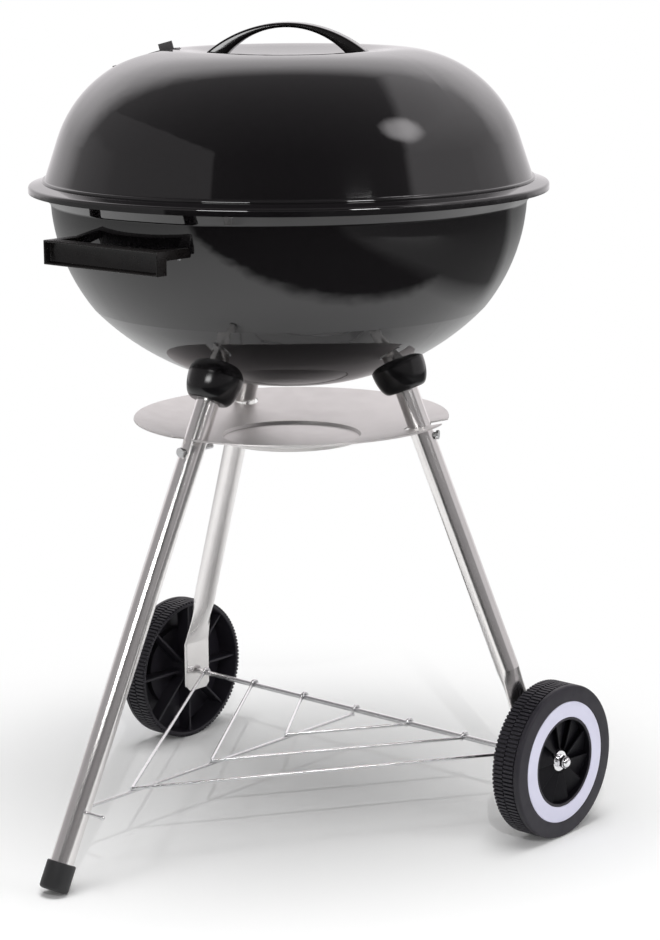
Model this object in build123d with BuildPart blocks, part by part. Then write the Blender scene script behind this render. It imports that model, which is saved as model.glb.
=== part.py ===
from build123d import *
import os
from math import asin, atan2, cos, degrees, floor, hypot, radians, sin, sqrt, tan

# Kettle charcoal grill: a lidded bowl on three legs, two of them carried by an axle with wheels.
# Millimetres. +Z is up and the ground is z = 0. -Y is the front, where the plain leg and the side
# handle are, and the axle runs along X. Sizes are laid out from the kettle's axis, and the finished
# pieces are moved together so that the origin is on the ground under the middle of the outline.

# Clearances
seat_gap = 0.3
weld_gap = 0.1
running_clearance = 0.05
fit_clearance = 0.1

# Kettle rim
rim_height = 613.0
rim_radius = 245.0
sheet = 1.6
flange_slope = 15.0
flange_edge_rise = 3.0
flange_round = 5.0
skirt_drop = 3.2
skirt_round = 2.6
skirt_clearance = 1.0

# Lid
lid_crest_inset = 141.0
lid_crest_rise = 126.7
lid_shoulder_radius = 119.0
lid_flank_angle = 18.7
lid_dish_depth = 9.0
lid_turn = 35.0

# Lid handle
lid_handle_rise = 151.0
lid_handle_foot_inset = 8.3
lid_handle_foot_length = 18.4
lid_handle_thickness = 4.4
lid_handle_depth = 26.0
lid_handle_round = 1.2
lid_screw_bite = 6.0

# Lid vent and its damper
lid_vent_offset = 31.0
vent_pad_radius = 34.0
vent_pad_sink = 4.9
vent_hole_radius = 6.5
vent_hole_circle = 18.0
vent_hole_count = 4
damper_radius = 33.0
damper_sheet = 1.2
damper_tab_width = 17.0
damper_tab_height = 8.0
damper_tab_angle = 59.0
rivet_radius = 2.5
rivet_head_radius = 5.0
rivet_head_height = 1.8

# Bowl
bowl_neck_inset = 20.8
bowl_neck_drop = 14.0
bowl_neck_round = 11.0
bowl_crease_inset = 58.5
bowl_crease_drop = 113.0
bowl_side_bulge = 8.2
bowl_base_radius = 70.0
bowl_depth = 181.0
bowl_base_bulge = 9.6
bowl_vent_hole_radius = 13.0
bowl_vent_hole_circle = 36.0
bowl_vent_hole_count = 3
bowl_damper_radius = 58.0
bowl_damper_tab_width = 22.0
bowl_damper_tab_reach = 14.0

# Grates
grate_drop = 32.0
grate_clearance = 4.0
grate_ring_wire = 3.0
grate_bar_wire = 2.0
grate_bar_pitch = 16.0
grate_brace_offset = 105.0
bracket_count = 3
bracket_width = 14.0
bracket_reach = 16.0
bracket_thickness = 3.0
charcoal_inset = 10.5
charcoal_bar_pitch = 22.0

# Side handle
side_handle_length = 143.0
side_handle_height = 22.0
side_handle_overhang = 5.0
side_handle_drop = 45.0
side_handle_bar = 12.0
side_handle_arm = 11.0
side_handle_arm_height = 12.0
side_handle_lip = 2.4
side_handle_recess = 7.0
side_handle_round = 1.0

# Screws and bolts
screw_radius = 2.5
screw_head_radius = 4.5
screw_head_height = 2.2
screw_bite = 9.0
bolt_radius = 3.0
bolt_head_radius = 6.0
bolt_head_height = 4.0

# Legs and their sockets
leg_radius = 11.0
leg_wall = 1.5
socket_circle_radius = 104.0
wheel_leg_bearing = 28.0
socket_radius = 26.0
socket_mouth_radius = 16.0
socket_length = 25.0
socket_roof = 8.0
front_foot_reach = 329.0
foot_wall = 2.5
foot_length = 26.0
foot_flat = 2.0

# Axle, flattened leg ends and wheels
axle_radius = 2.6
axle_setback = 93.0
paddle_centre = 219.0
paddle_thickness = 5.0
paddle_width = 36.0
paddle_rise = 34.0
paddle_drop = 18.0
paddle_lead = 5.0
paddle_corner = 6.0
flatten_length = 52.0
wheel_radius = 74.0
wheel_width = 31.0
wheel_inner_face = 230.0
wheel_shoulder = 4.0
tread_wall = 5.0
wheel_web = 3.0
wheel_rib_count = 8
wheel_rib = 2.5
wheel_rib_inset = 4.0
hub_radius = 12.0
hub_recess = 9.0
hub_vane_count = 10
hub_vane = 1.8
hub_vane_height = 4.0
ring_outer_radius = 58.5
ring_inner_radius = 43.4
ring_thickness = 2.0
ring_ridge = 2.5
washer_radius = 10.0
washer_thickness = 1.5
nut_radius = 6.5
nut_length = 10.0
nut_wall = 3.0

# Ash catcher
ash_drop = 40.0
ash_radius = 151.0
ash_sheet = 1.4
ash_well_radius = 67.0
ash_well_drop = 19.0
ash_well_step = 3.0
ash_notch_clearance = 1.6
ash_screw_bite = 6.0

# Wire rack
rack_wire = 1.6
rack_arm_pitch = 69.8
rack_arm_pairs = 3
rack_run_ratio = 1.52
rack_hook_lead = 25.0
rack_hook_sweep = 250.0
rack_stop_length = 20.0


def unit(*parts):
    """Return the given components as a vector of length one."""
    return Vector(*parts).normalized()


def flange_height(radius, drop):
    """Height at a radius of the surface that lies drop under the lid flange's top, square to it."""
    rise = (rim_radius - radius) * tan(radians(flange_slope))
    return rim_height + flange_edge_rise + rise - drop / cos(radians(flange_slope))


# Radii that keep their distance from the rim
lid_crest_radius = rim_radius - lid_crest_inset
lid_vent_radius = lid_crest_radius + lid_vent_offset
bowl_neck_radius = rim_radius - bowl_neck_inset
bowl_crease_radius = rim_radius - bowl_crease_inset
charcoal_ring_radius = bowl_crease_radius - charcoal_inset
side_handle_reach = rim_radius + side_handle_overhang

# Lid profile: a shallow dish, the crest and shoulder arc, a straight flank, the flange and the skirt.
# The dish arc's radius makes it tangent to the crest arc.
lid_dish_radius = (lid_crest_radius**2 + lid_dish_depth**2) / (2 * lid_dish_depth) - lid_shoulder_radius
lid_dish_angle = degrees(asin(lid_crest_radius / (lid_dish_radius + lid_shoulder_radius)))
lid_crest_height = rim_height + lid_crest_rise
lid_arc_height = lid_crest_height - lid_shoulder_radius
lid_dish_height = lid_crest_height - lid_dish_depth
lid_dish_edge = lid_dish_radius * sin(radians(lid_dish_angle))

# The lid handle stands on the dish, and its screws are in the middle of its feet
handle_foot_outer = lid_dish_edge - lid_handle_foot_inset
handle_foot_inner = handle_foot_outer - lid_handle_foot_length
lid_handle_screw_radius = (handle_foot_outer + handle_foot_inner) / 2


def arch_radius(rise, reach):
    """Radius of an arc whose top is a rise over the rim and which meets the dish at a reach."""
    dish = lid_dish_height - rim_height + lid_dish_radius - sqrt(lid_dish_radius**2 - reach**2)
    return (reach**2 + (rise - dish) ** 2) / (2 * (rise - dish))


def lid_region(inset):
    """Half section under the lid's surface, moved in by inset, down to the skirt's foot."""
    flank = tan(radians(lid_flank_angle))
    slope = tan(radians(flange_slope))
    shoulder = lid_shoulder_radius - inset
    foot_radius = lid_crest_radius + shoulder * cos(radians(lid_flank_angle))
    foot_height = lid_arc_height + shoulder * sin(radians(lid_flank_angle))
    edge = rim_radius - inset
    edge_height = flange_height(edge, inset)
    root_height = (edge_height + slope * (edge - foot_radius - flank * foot_height)) / (1 - slope * flank)
    root_radius = foot_radius + (foot_height - root_height) * flank
    floor = rim_height - skirt_drop
    with BuildSketch(Plane.XZ) as region:
        with BuildLine():
            dish = JernArc((0, lid_dish_height - inset), (1, 0), lid_dish_radius + inset, lid_dish_angle)
            crest = JernArc(dish @ 1, dish % 1, shoulder, lid_flank_angle - 90 - lid_dish_angle)
            skirt = FilletPolyline(
                crest @ 1,
                (root_radius, root_height),
                (edge, edge_height),
                (edge, floor),
                radius=[flange_round + inset, skirt_round - inset],
            )
            Polyline(skirt @ 1, (0, floor), dish @ 0)
        make_face()
    return region.sketch


# Bowl profile: a flared neck, a bowed side down to the crease, a bowed cone and a flat base.
def arc_centre(start, end, bulge):
    """Centre and radius of the arc from start to end that bows out by bulge to its left."""
    chord = hypot(end[0] - start[0], end[1] - start[1])
    radius = (chord**2 / 4 + bulge**2) / (2 * bulge)
    left = ((start[1] - end[1]) / chord, (end[0] - start[0]) / chord)
    middle = ((start[0] + end[0]) / 2, (start[1] + end[1]) / 2)
    return (middle[0] + left[0] * (bulge - radius), middle[1] + left[1] * (bulge - radius)), radius


def arc_crossing(first, first_radius, second, second_radius):
    """The crossing of two circles that lies further from the kettle's axis."""
    gap = hypot(second[0] - first[0], second[1] - first[1])
    along = (first_radius**2 - second_radius**2 + gap**2) / (2 * gap)
    off = sqrt(first_radius**2 - along**2)
    step = ((second[0] - first[0]) / gap, (second[1] - first[1]) / gap)
    foot = (first[0] + along * step[0], first[1] + along * step[1])
    sides = [(foot[0] - k * off * step[1], foot[1] + k * off * step[0]) for k in (1, -1)]
    return max(sides)


def arc_middle(centre, radius, start, end):
    """The point halfway along the arc between two points of a circle."""
    angles = [atan2(point[1] - centre[1], point[0] - centre[0]) for point in (start, end)]
    middle = sum(angles) / len(angles)
    return (centre[0] + radius * cos(middle), centre[1] + radius * sin(middle))


bowl_base_height = rim_height - bowl_depth
bowl_neck = (bowl_neck_radius, rim_height - bowl_neck_drop)
bowl_crease = (bowl_crease_radius, rim_height - bowl_crease_drop)
bowl_base = (bowl_base_radius, bowl_base_height)
side_centre, side_radius = arc_centre(bowl_neck, bowl_crease, bowl_side_bulge)
cone_centre, cone_radius = arc_centre(bowl_crease, bowl_base, bowl_base_bulge)
bowl_flange_radius = rim_radius - sheet - skirt_clearance
bowl_flange_drop = 2 * sheet + seat_gap
bowl_top = rim_height + lid_crest_rise


def cone_height(radius, inset):
    """Height of the bowl's lower surface, moved in by inset, at a radius."""
    return cone_centre[1] - sqrt((cone_radius - inset) ** 2 - (radius - cone_centre[0]) ** 2)


def side_reach(height, inset):
    """Radius of the bowl's side, moved in by inset, at a height."""
    return side_centre[0] + sqrt((side_radius - inset) ** 2 - (height - side_centre[1]) ** 2)


def bowl_region(inset, edge):
    """Half section inside the bowl's outer surface, moved in by inset, with its flange out to edge."""
    neck = (side_reach(bowl_neck[1], inset), bowl_neck[1])
    crease = arc_crossing(side_centre, side_radius - inset, cone_centre, cone_radius - inset)
    floor = bowl_base_height + inset
    rise = floor - cone_centre[1]
    base = (cone_centre[0] + sqrt((cone_radius - inset) ** 2 - rise**2), floor)
    drop = bowl_flange_drop - inset
    with BuildSketch(Plane.XZ) as region:
        with BuildLine():
            Line((0, floor), base)
            ThreePointArc(base, arc_middle(cone_centre, cone_radius - inset, base, crease), crease)
            ThreePointArc(crease, arc_middle(side_centre, side_radius - inset, crease, neck), neck)
            rim = FilletPolyline(
                neck,
                (neck[0], flange_height(neck[0], drop)),
                (edge, flange_height(edge, drop)),
                radius=bowl_neck_round + inset,
            )
            Polyline(rim @ 1, (edge, bowl_top), (0, bowl_top), (0, floor))
        make_face()
    return region.sketch


# Solids that other pieces are trimmed against
with BuildPart() as lid_keepout:
    add(lid_region(-weld_gap))
    revolve(axis=Axis.Z)

with BuildPart() as bowl_keepout:
    add(bowl_region(-weld_gap, bowl_flange_radius))
    revolve(axis=Axis.Z)

with BuildPart() as bowl_inside:
    add(bowl_region(sheet + weld_gap, bowl_flange_radius))
    revolve(axis=Axis.Z)

# Places on the lid
lid_along = Vector(cos(radians(lid_turn)), sin(radians(lid_turn)), 0)
vent_tilt = asin((lid_vent_radius - lid_crest_radius) / lid_shoulder_radius)
vent_normal = lid_along * -sin(vent_tilt) + Vector(0, 0, cos(vent_tilt))
vent_uphill = lid_along * cos(vent_tilt) + Vector(0, 0, sin(vent_tilt))
vent_arc_centre = lid_along * -lid_crest_radius + Vector(0, 0, lid_arc_height)
vent_pad = Plane(
    origin=vent_arc_centre + vent_normal * (lid_shoulder_radius - vent_pad_sink),
    x_dir=vent_uphill,
    z_dir=vent_normal,
)
vent_underside = vent_pad.offset(-sheet)
vent_cup_height = 3 * vent_pad_sink
handle_plane = Plane(
    origin=(0, 0, rim_height),
    x_dir=lid_along,
    z_dir=(lid_along.Y, -lid_along.X, 0),
)
dish_tilt = asin(lid_handle_screw_radius / (lid_dish_radius + sheet))
dish_screw_height = lid_dish_height + lid_dish_radius - (lid_dish_radius + sheet) * cos(dish_tilt)


def lid_screw_plane(side):
    """Plane on the lid's inner surface under one foot of the handle, facing up into the foot."""
    along = lid_along * side
    return Plane(
        origin=along * lid_handle_screw_radius + Vector(0, 0, dish_screw_height),
        z_dir=along * -sin(dish_tilt) + Vector(0, 0, cos(dish_tilt)),
    )


# Lid shell with a flat vent pad, sunk into its shoulder
with BuildPart() as vent_cup:
    add(lid_region(0))
    revolve(axis=Axis.Z)
    with BuildSketch(vent_underside):
        Circle(vent_pad_radius + sheet)
    extrude(amount=vent_cup_height, mode=Mode.INTERSECT)

with BuildPart() as lid_shell:
    add(lid_region(0))
    revolve(axis=Axis.Z)
    add(lid_region(sheet))
    revolve(axis=Axis.Z, mode=Mode.SUBTRACT)
    add(vent_cup.part)
    with BuildSketch(vent_pad):
        Circle(vent_pad_radius)
    extrude(amount=vent_cup_height, mode=Mode.SUBTRACT)
    with BuildSketch(vent_pad):
        Circle(rivet_radius + fit_clearance)
        with PolarLocations(vent_hole_circle, vent_hole_count):
            Circle(vent_hole_radius)
    extrude(amount=-2 * sheet, mode=Mode.SUBTRACT)
    for side in (1, -1):
        with BuildSketch(lid_screw_plane(side)):
            Circle(screw_radius + fit_clearance)
        extrude(amount=2 * sheet, both=True, mode=Mode.SUBTRACT)

# Arch handle, its section a crescent between two arcs
lid_handle_underside = lid_handle_rise - lid_handle_thickness
lid_handle_outer = arch_radius(lid_handle_rise, handle_foot_outer)
lid_handle_inner = arch_radius(lid_handle_underside, handle_foot_inner)
with BuildPart() as lid_handle:
    with BuildSketch(handle_plane):
        with Locations((0, lid_handle_rise - lid_handle_outer)):
            Circle(lid_handle_outer)
        with Locations((0, lid_handle_underside - lid_handle_inner)):
            Circle(lid_handle_inner, mode=Mode.SUBTRACT)
        with Locations((0, lid_crest_rise - lid_dish_depth)):
            Rectangle(
                2 * lid_dish_edge,
                lid_handle_rise,
                align=(Align.CENTER, Align.MIN),
                mode=Mode.INTERSECT,
            )
    extrude(amount=lid_handle_depth / 2, both=True)
    fillet(lid_handle.faces().sort_by(Axis.Z)[-1].edges(), lid_handle_round)
    add(lid_keepout.part, mode=Mode.SUBTRACT)
    for side in (1, -1):
        with BuildSketch(lid_screw_plane(side)):
            Circle(screw_radius + fit_clearance)
        extrude(amount=sheet + lid_screw_bite + fit_clearance, mode=Mode.SUBTRACT)

with BuildPart() as lid_handle_screws:
    for side in (1, -1):
        with BuildSketch(lid_screw_plane(side)):
            Circle(screw_radius)
        extrude(amount=sheet + lid_screw_bite)
        with BuildSketch(lid_screw_plane(side).offset(-weld_gap)):
            Circle(screw_radius)
        extrude(amount=weld_gap)
        with BuildSketch(lid_screw_plane(side).offset(-weld_gap)):
            Circle(screw_head_radius)
        extrude(amount=-screw_head_height)

# Lid damper: a turning disc with vent holes and a bent-up tab, on a rivet. Both dampers are shut at rest.
half_turn = 180.0
damper_floor = vent_pad.offset(seat_gap)
damper_tab_reach = sqrt(damper_radius**2 - damper_tab_width**2 / 4)
with BuildPart() as lid_damper:
    with BuildSketch(damper_floor):
        Circle(damper_radius)
        Circle(rivet_radius + running_clearance, mode=Mode.SUBTRACT)
        with PolarLocations(vent_hole_circle, vent_hole_count, half_turn / vent_hole_count):
            Circle(vent_hole_radius, mode=Mode.SUBTRACT)
    extrude(amount=damper_sheet)
    with BuildSketch(damper_floor):
        with PolarLocations(damper_tab_reach, 1, damper_tab_angle):
            Rectangle(damper_sheet, damper_tab_width, align=(Align.MAX, Align.CENTER))
    extrude(amount=damper_sheet + damper_tab_height)

with BuildPart() as lid_vent_rivet:
    with BuildSketch(vent_underside.offset(-weld_gap)):
        Circle(rivet_radius)
    extrude(amount=weld_gap + sheet + 2 * seat_gap + damper_sheet)
    with BuildSketch(damper_floor.offset(damper_sheet + seat_gap)):
        Circle(rivet_head_radius)
    extrude(amount=rivet_head_height)
    with BuildSketch(vent_underside.offset(-weld_gap)):
        Circle(rivet_head_radius)
    extrude(amount=-rivet_head_height)

# Legs: each runs down from a point of the bowl's cone
leg_top_height = cone_height(socket_circle_radius, 0)
cone_tilt = asin((socket_circle_radius - cone_centre[0]) / cone_radius)
axle_height = wheel_radius
leg_lower_ends = {
    "front": Vector(0, -front_foot_reach, 0),
    "right": Vector(paddle_centre, axle_setback - paddle_lead, axle_height + paddle_rise),
    "left": Vector(-paddle_centre, axle_setback - paddle_lead, axle_height + paddle_rise),
}
leg_bearings = {"front": -90.0, "right": wheel_leg_bearing, "left": 180.0 - wheel_leg_bearing}


def leg_top(leg):
    """Point where a leg's axis meets the bowl."""
    bearing = radians(leg_bearings[leg])
    reach = Vector(cos(bearing), sin(bearing), 0) * socket_circle_radius
    return reach + Vector(0, 0, leg_top_height)


def leg_up(leg):
    """Direction up a leg's axis."""
    return (leg_top(leg) - leg_lower_ends[leg]).normalized()


def leg_plane(leg, down):
    """Plane square to a leg at a distance down its axis from the bowl, facing up."""
    return Plane(origin=leg_top(leg) - leg_up(leg) * down, z_dir=leg_up(leg))


def leg_point(leg, height):
    """Point of a leg's axis at a height."""
    up = leg_up(leg)
    return leg_top(leg) - up * ((leg_top_height - height) / up.Z)


def bolt_plane(leg):
    """Plane on the bowl's inner surface over a socket, facing out through the bowl."""
    bearing = radians(leg_bearings[leg])
    outward = Vector(cos(bearing), sin(bearing), 0)
    normal = outward * sin(cone_tilt) - Vector(0, 0, cos(cone_tilt))
    return Plane(origin=leg_top(leg) - normal * sheet, z_dir=normal)


# Side handle screws go square through the bowl's side
side_handle_height_centre = rim_height - side_handle_drop
side_arm_offset = (side_handle_length - side_handle_arm) / 2
side_arm_height = side_handle_height_centre + (side_handle_height - side_handle_arm_height) / 2
side_screw_reach = side_reach(side_arm_height, sheet)
side_screw_drop = asin((side_centre[1] - side_arm_height) / (side_radius - sheet))
side_screw_bearing = asin(side_arm_offset / (side_screw_reach + (sheet + screw_bite) / 2))


def side_screw_plane(side):
    """Plane on the bowl's inner side behind one arm of the side handle, facing out into the arm."""
    outward = Vector(side * sin(side_screw_bearing), -cos(side_screw_bearing), 0)
    normal = outward * cos(side_screw_drop) - Vector(0, 0, sin(side_screw_drop))
    return Plane(
        origin=outward * side_screw_reach + Vector(0, 0, side_arm_height),
        z_dir=normal,
    )


# Bowl shell
with BuildPart() as bowl_shell:
    add(bowl_region(0, bowl_flange_radius))
    revolve(axis=Axis.Z)
    add(bowl_region(sheet, bowl_flange_radius + skirt_clearance))
    revolve(axis=Axis.Z, mode=Mode.SUBTRACT)
    with BuildSketch(Plane.XY.offset(bowl_base_height)):
        Circle(rivet_radius + fit_clearance)
        with PolarLocations(bowl_vent_hole_circle, bowl_vent_hole_count):
            Circle(bowl_vent_hole_radius)
    extrude(amount=2 * sheet, both=True, mode=Mode.SUBTRACT)
    for leg in leg_bearings:
        with BuildSketch(bolt_plane(leg)):
            Circle(bolt_radius + fit_clearance)
        extrude(amount=2 * sheet, both=True, mode=Mode.SUBTRACT)
    for side in (1, -1):
        with BuildSketch(side_screw_plane(side)):
            Circle(screw_radius + fit_clearance)
        extrude(amount=2 * sheet, both=True, mode=Mode.SUBTRACT)

# Bowl damper under the base, with a tab to the back
bowl_damper_top = Plane.XY.offset(bowl_base_height - seat_gap)
with BuildPart() as bowl_damper:
    with BuildSketch(bowl_damper_top):
        Circle(bowl_damper_radius)
        with Locations((0, bowl_damper_radius)):
            Rectangle(bowl_damper_tab_width, 2 * bowl_damper_tab_reach)
        Circle(rivet_radius + running_clearance, mode=Mode.SUBTRACT)
        with PolarLocations(bowl_vent_hole_circle, bowl_vent_hole_count, half_turn / bowl_vent_hole_count):
            Circle(bowl_vent_hole_radius, mode=Mode.SUBTRACT)
    extrude(amount=-damper_sheet)

with BuildPart() as bowl_vent_rivet:
    with BuildSketch(Plane.XY.offset(bowl_base_height + sheet + weld_gap)):
        Circle(rivet_radius)
    extrude(amount=-weld_gap - sheet - 2 * seat_gap - damper_sheet)
    with BuildSketch(Plane.XY.offset(bowl_base_height + sheet + weld_gap)):
        Circle(rivet_head_radius)
    extrude(amount=rivet_head_height)
    with BuildSketch(bowl_damper_top.offset(-damper_sheet - seat_gap)):
        Circle(rivet_head_radius)
    extrude(amount=-rivet_head_height)

# Side handle: a hollow-faced bar on two lower arms that meet the bowl
with BuildPart() as side_handle:
    with BuildSketch(Plane.XY.offset(side_handle_height_centre)):
        with Locations((0, -side_handle_reach)):
            Rectangle(side_handle_length, side_handle_bar, align=(Align.CENTER, Align.MIN))
    extrude(amount=side_handle_height / 2, both=True)
    fillet(side_handle.edges().filter_by(Axis.Z).group_by(Axis.Y)[0], side_handle_lip)
    fillet(side_handle.faces().sort_by(Axis.Y)[0].edges(), side_handle_round)
    with BuildSketch(Plane.XZ.offset(side_handle_reach)):
        with Locations((0, side_handle_height_centre)):
            RectangleRounded(
                side_handle_length - 2 * side_handle_lip,
                side_handle_height - 2 * side_handle_lip,
                side_handle_lip,
            )
    extrude(amount=-side_handle_recess, mode=Mode.SUBTRACT)
    with BuildSketch(Plane.XY.offset(side_arm_height)):
        with Locations((0, side_handle_bar - side_handle_reach)):
            with GridLocations(2 * side_arm_offset, 0, 2, 1):
                Rectangle(side_handle_arm, side_handle_reach, align=(Align.CENTER, Align.MIN))
    extrude(amount=side_handle_arm_height / 2, both=True)
    add(bowl_keepout.part, mode=Mode.SUBTRACT)
    for side in (1, -1):
        with BuildSketch(side_screw_plane(side)):
            Circle(screw_radius + fit_clearance)
        extrude(amount=sheet + screw_bite + fit_clearance, mode=Mode.SUBTRACT)

with BuildPart() as side_handle_screws:
    for side in (1, -1):
        with BuildSketch(side_screw_plane(side).offset(-seat_gap)):
            Circle(screw_radius)
        extrude(amount=seat_gap + sheet + screw_bite)
        with BuildSketch(side_screw_plane(side).offset(-seat_gap)):
            Circle(screw_head_radius)
        extrude(amount=-screw_head_height)

# Leg sockets: rounded hoods trimmed to the bowl, bolted from inside it
sockets = {}
for leg in leg_bearings:
    up = leg_up(leg)
    across = up.cross(Vector(0, 0, 1)).normalized()
    section = Plane(origin=leg_top(leg) - up * socket_length, x_dir=across, z_dir=across.cross(up))
    with BuildPart() as socket:
        with BuildSketch(section):
            with BuildLine():
                foot = Line((0, 0), (socket_mouth_radius, 0))
                hood = EllipticalCenterArc(
                    (socket_mouth_radius, socket_length),
                    socket_radius - socket_mouth_radius,
                    socket_length,
                    start_angle=270,
                )
                Polyline(hood @ 1, (socket_radius, 2 * socket_length), (0, 2 * socket_length), foot @ 0)
            make_face()
        revolve(axis=Axis(leg_top(leg), up))
        add(bowl_keepout.part, mode=Mode.SUBTRACT)
        with BuildSketch(leg_plane(leg, socket_length)):
            Circle(leg_radius + fit_clearance)
        extrude(amount=socket_length - socket_roof, mode=Mode.SUBTRACT)
        with BuildSketch(bolt_plane(leg)):
            Circle(bolt_radius + fit_clearance)
        extrude(amount=sheet + socket_roof + bolt_radius, mode=Mode.SUBTRACT)
    sockets[leg] = socket

with BuildPart() as socket_bolts:
    for leg in leg_bearings:
        with BuildSketch(bolt_plane(leg).offset(-seat_gap)):
            Circle(bolt_radius)
        extrude(amount=seat_gap + sheet + socket_roof)
        with BuildSketch(bolt_plane(leg).offset(-seat_gap)):
            RegularPolygon(bolt_head_radius, 6)
        extrude(amount=-bolt_head_height)

# Ash catcher screws: one across each leg, its tip under the pan
ash_height = bowl_base_height - ash_drop
ash_slope = ash_well_drop / (ash_radius - ash_well_radius)


def ash_underside(radius):
    """Height of the underside of the pan's cone at a radius."""
    return ash_height - (ash_radius - radius) * ash_slope - ash_sheet * sqrt(1 + ash_slope**2)


ash_leg_radius = hypot(leg_point("front", ash_height).X, leg_point("front", ash_height).Y)
ash_notch_radius = leg_radius + ash_notch_clearance
ash_screw_tip = ash_leg_radius - ash_notch_radius - ash_screw_bite
ash_screw_height = ash_underside(ash_screw_tip) - seat_gap - screw_radius


def ash_screw_plane(leg):
    """Plane through a leg's axis at the screw's height, facing out from the kettle's axis."""
    point = leg_point(leg, ash_screw_height)
    return Plane(origin=point, z_dir=unit(point.X, point.Y, 0))


def ash_screw_inner(leg):
    """Distance from a leg's axis in to its screw's tip."""
    point = leg_point(leg, ash_screw_height)
    return hypot(point.X, point.Y) - ash_screw_tip


# Front leg, with a hole for the rack's spine
rack_height = axle_height
spine_height = rack_height - 2 * rack_wire - weld_gap
front_up = leg_up("front")
front_lean = sqrt(1 - front_up.Z**2)
foot_radius = leg_radius + foot_wall
foot_base_height = foot_radius * front_lean - foot_flat
foot_down = (leg_top_height - foot_base_height) / front_up.Z
leg_end_down = foot_down - foot_wall
with BuildPart() as front_leg:
    with BuildSketch(leg_plane("front", leg_end_down)):
        Circle(leg_radius)
        Circle(leg_radius - leg_wall, mode=Mode.SUBTRACT)
    extrude(amount=leg_end_down - socket_roof - weld_gap)
    with BuildSketch(ash_screw_plane("front")):
        Circle(screw_radius + fit_clearance)
    extrude(amount=2 * leg_radius, both=True, mode=Mode.SUBTRACT)
    with BuildSketch(Plane.XZ.offset(-leg_point("front", spine_height).Y)):
        with Locations((0, spine_height)):
            Circle(rack_wire + fit_clearance)
    extrude(amount=-2 * leg_radius, mode=Mode.SUBTRACT)

with BuildPart() as foot_cap:
    with BuildSketch(leg_plane("front", foot_down)):
        Circle(foot_radius)
    extrude(amount=foot_length)
    with BuildSketch(leg_plane("front", leg_end_down)):
        Circle(leg_radius + fit_clearance)
    extrude(amount=foot_length, mode=Mode.SUBTRACT)
    split(bisect_by=Plane.XY, keep=Keep.TOP)

# Wheel legs: a tube flattened into a paddle with the axle's hole
wheel_legs = {}
for leg in ("right", "left"):
    end = leg_lower_ends[leg]
    flatten_down = (leg_top(leg) - end).length - flatten_length
    with BuildPart() as wheel_leg:
        with BuildSketch(leg_plane(leg, flatten_down)):
            Circle(leg_radius)
        with BuildSketch(Plane(origin=end, x_dir=(0, 1, 0), z_dir=(0, 0, 1))):
            SlotOverall(paddle_width, paddle_thickness)
        loft()
        with BuildSketch(leg_plane(leg, flatten_down)):
            Circle(leg_radius)
            Circle(leg_radius - leg_wall, mode=Mode.SUBTRACT)
        extrude(amount=flatten_down - socket_roof - weld_gap)
        with BuildSketch(Plane(origin=end, x_dir=(0, 1, 0), z_dir=(0, 0, 1))):
            SlotOverall(paddle_width, paddle_thickness)
        extrude(amount=-paddle_rise - paddle_drop)
        with BuildSketch(Plane.YZ.offset(end.X)):
            with Locations((axle_setback, axle_height)):
                Circle(axle_radius + fit_clearance)
            with Locations((end.Y, axle_height - paddle_drop)):
                with GridLocations(paddle_width, 0, 2, 1):
                    Rectangle(sqrt(2) * paddle_corner, sqrt(2) * paddle_corner, rotation=45)
        extrude(amount=leg_radius, both=True, mode=Mode.SUBTRACT)
        with BuildSketch(ash_screw_plane(leg)):
            Circle(screw_radius + fit_clearance)
        extrude(amount=2 * leg_radius, both=True, mode=Mode.SUBTRACT)
    wheel_legs[leg] = wheel_leg

# Ash catcher: a shallow cone with a stepped well and a notch for each leg
with BuildPart() as ash_catcher:
    with BuildSketch(Plane.XZ):
        with BuildLine():
            Polyline(
                (0, ash_height - ash_well_drop - ash_well_step),
                (ash_well_radius - ash_sheet, ash_height - ash_well_drop - ash_well_step),
                (ash_well_radius, ash_height - ash_well_drop),
                (ash_radius, ash_height),
            )
            offset(amount=ash_sheet, side=Side.RIGHT)
        make_face()
    revolve(axis=Axis.Z)
    for leg in leg_bearings:
        point = leg_point(leg, ash_height)
        out = unit(point.X, point.Y, 0)
        with BuildSketch(Plane(origin=(point.X, point.Y, ash_height), x_dir=out, z_dir=(0, 0, 1))):
            Circle(ash_notch_radius)
            Rectangle(ash_radius, 2 * ash_notch_radius, align=(Align.MIN, Align.CENTER))
        extrude(amount=ash_well_drop, both=True, mode=Mode.SUBTRACT)

with BuildPart() as ash_catcher_screws:
    for leg in leg_bearings:
        rise = leg_up(leg).Z
        head_reach = (leg_radius + screw_head_radius * sqrt(1 - rise**2)) / rise + seat_gap
        with BuildSketch(ash_screw_plane(leg).offset(-ash_screw_inner(leg))):
            Circle(screw_radius)
        extrude(amount=ash_screw_inner(leg) + head_reach)
        with BuildSketch(ash_screw_plane(leg).offset(head_reach)):
            Circle(screw_head_radius)
        extrude(amount=screw_head_height)

# Axle with washers and cap nuts
hub_inner_face = paddle_centre + paddle_thickness / 2 + washer_thickness + seat_gap
wheel_face = wheel_inner_face + wheel_width
recess_floor = wheel_face - hub_recess
hub_outer_face = recess_floor + washer_thickness
nut_seat = hub_outer_face + seat_gap + washer_thickness
axle_end = nut_seat + nut_length - nut_wall
axle_line = Axis((0, axle_setback, axle_height), (1, 0, 0))


def axle_plane(reach):
    """Plane square to the axle at a distance along X from the middle, facing +X."""
    return Plane(origin=(reach, axle_setback, axle_height), x_dir=(0, 1, 0), z_dir=(1, 0, 0))


with BuildPart() as axle:
    with BuildSketch(axle_plane(-axle_end)):
        Circle(axle_radius)
    extrude(amount=2 * axle_end)

with BuildPart() as inner_washers:
    for side in (1, -1):
        with BuildSketch(axle_plane(side * (hub_inner_face - seat_gap - washer_thickness))):
            Circle(washer_radius)
            Circle(axle_radius + fit_clearance, mode=Mode.SUBTRACT)
        extrude(amount=side * washer_thickness)

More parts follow.
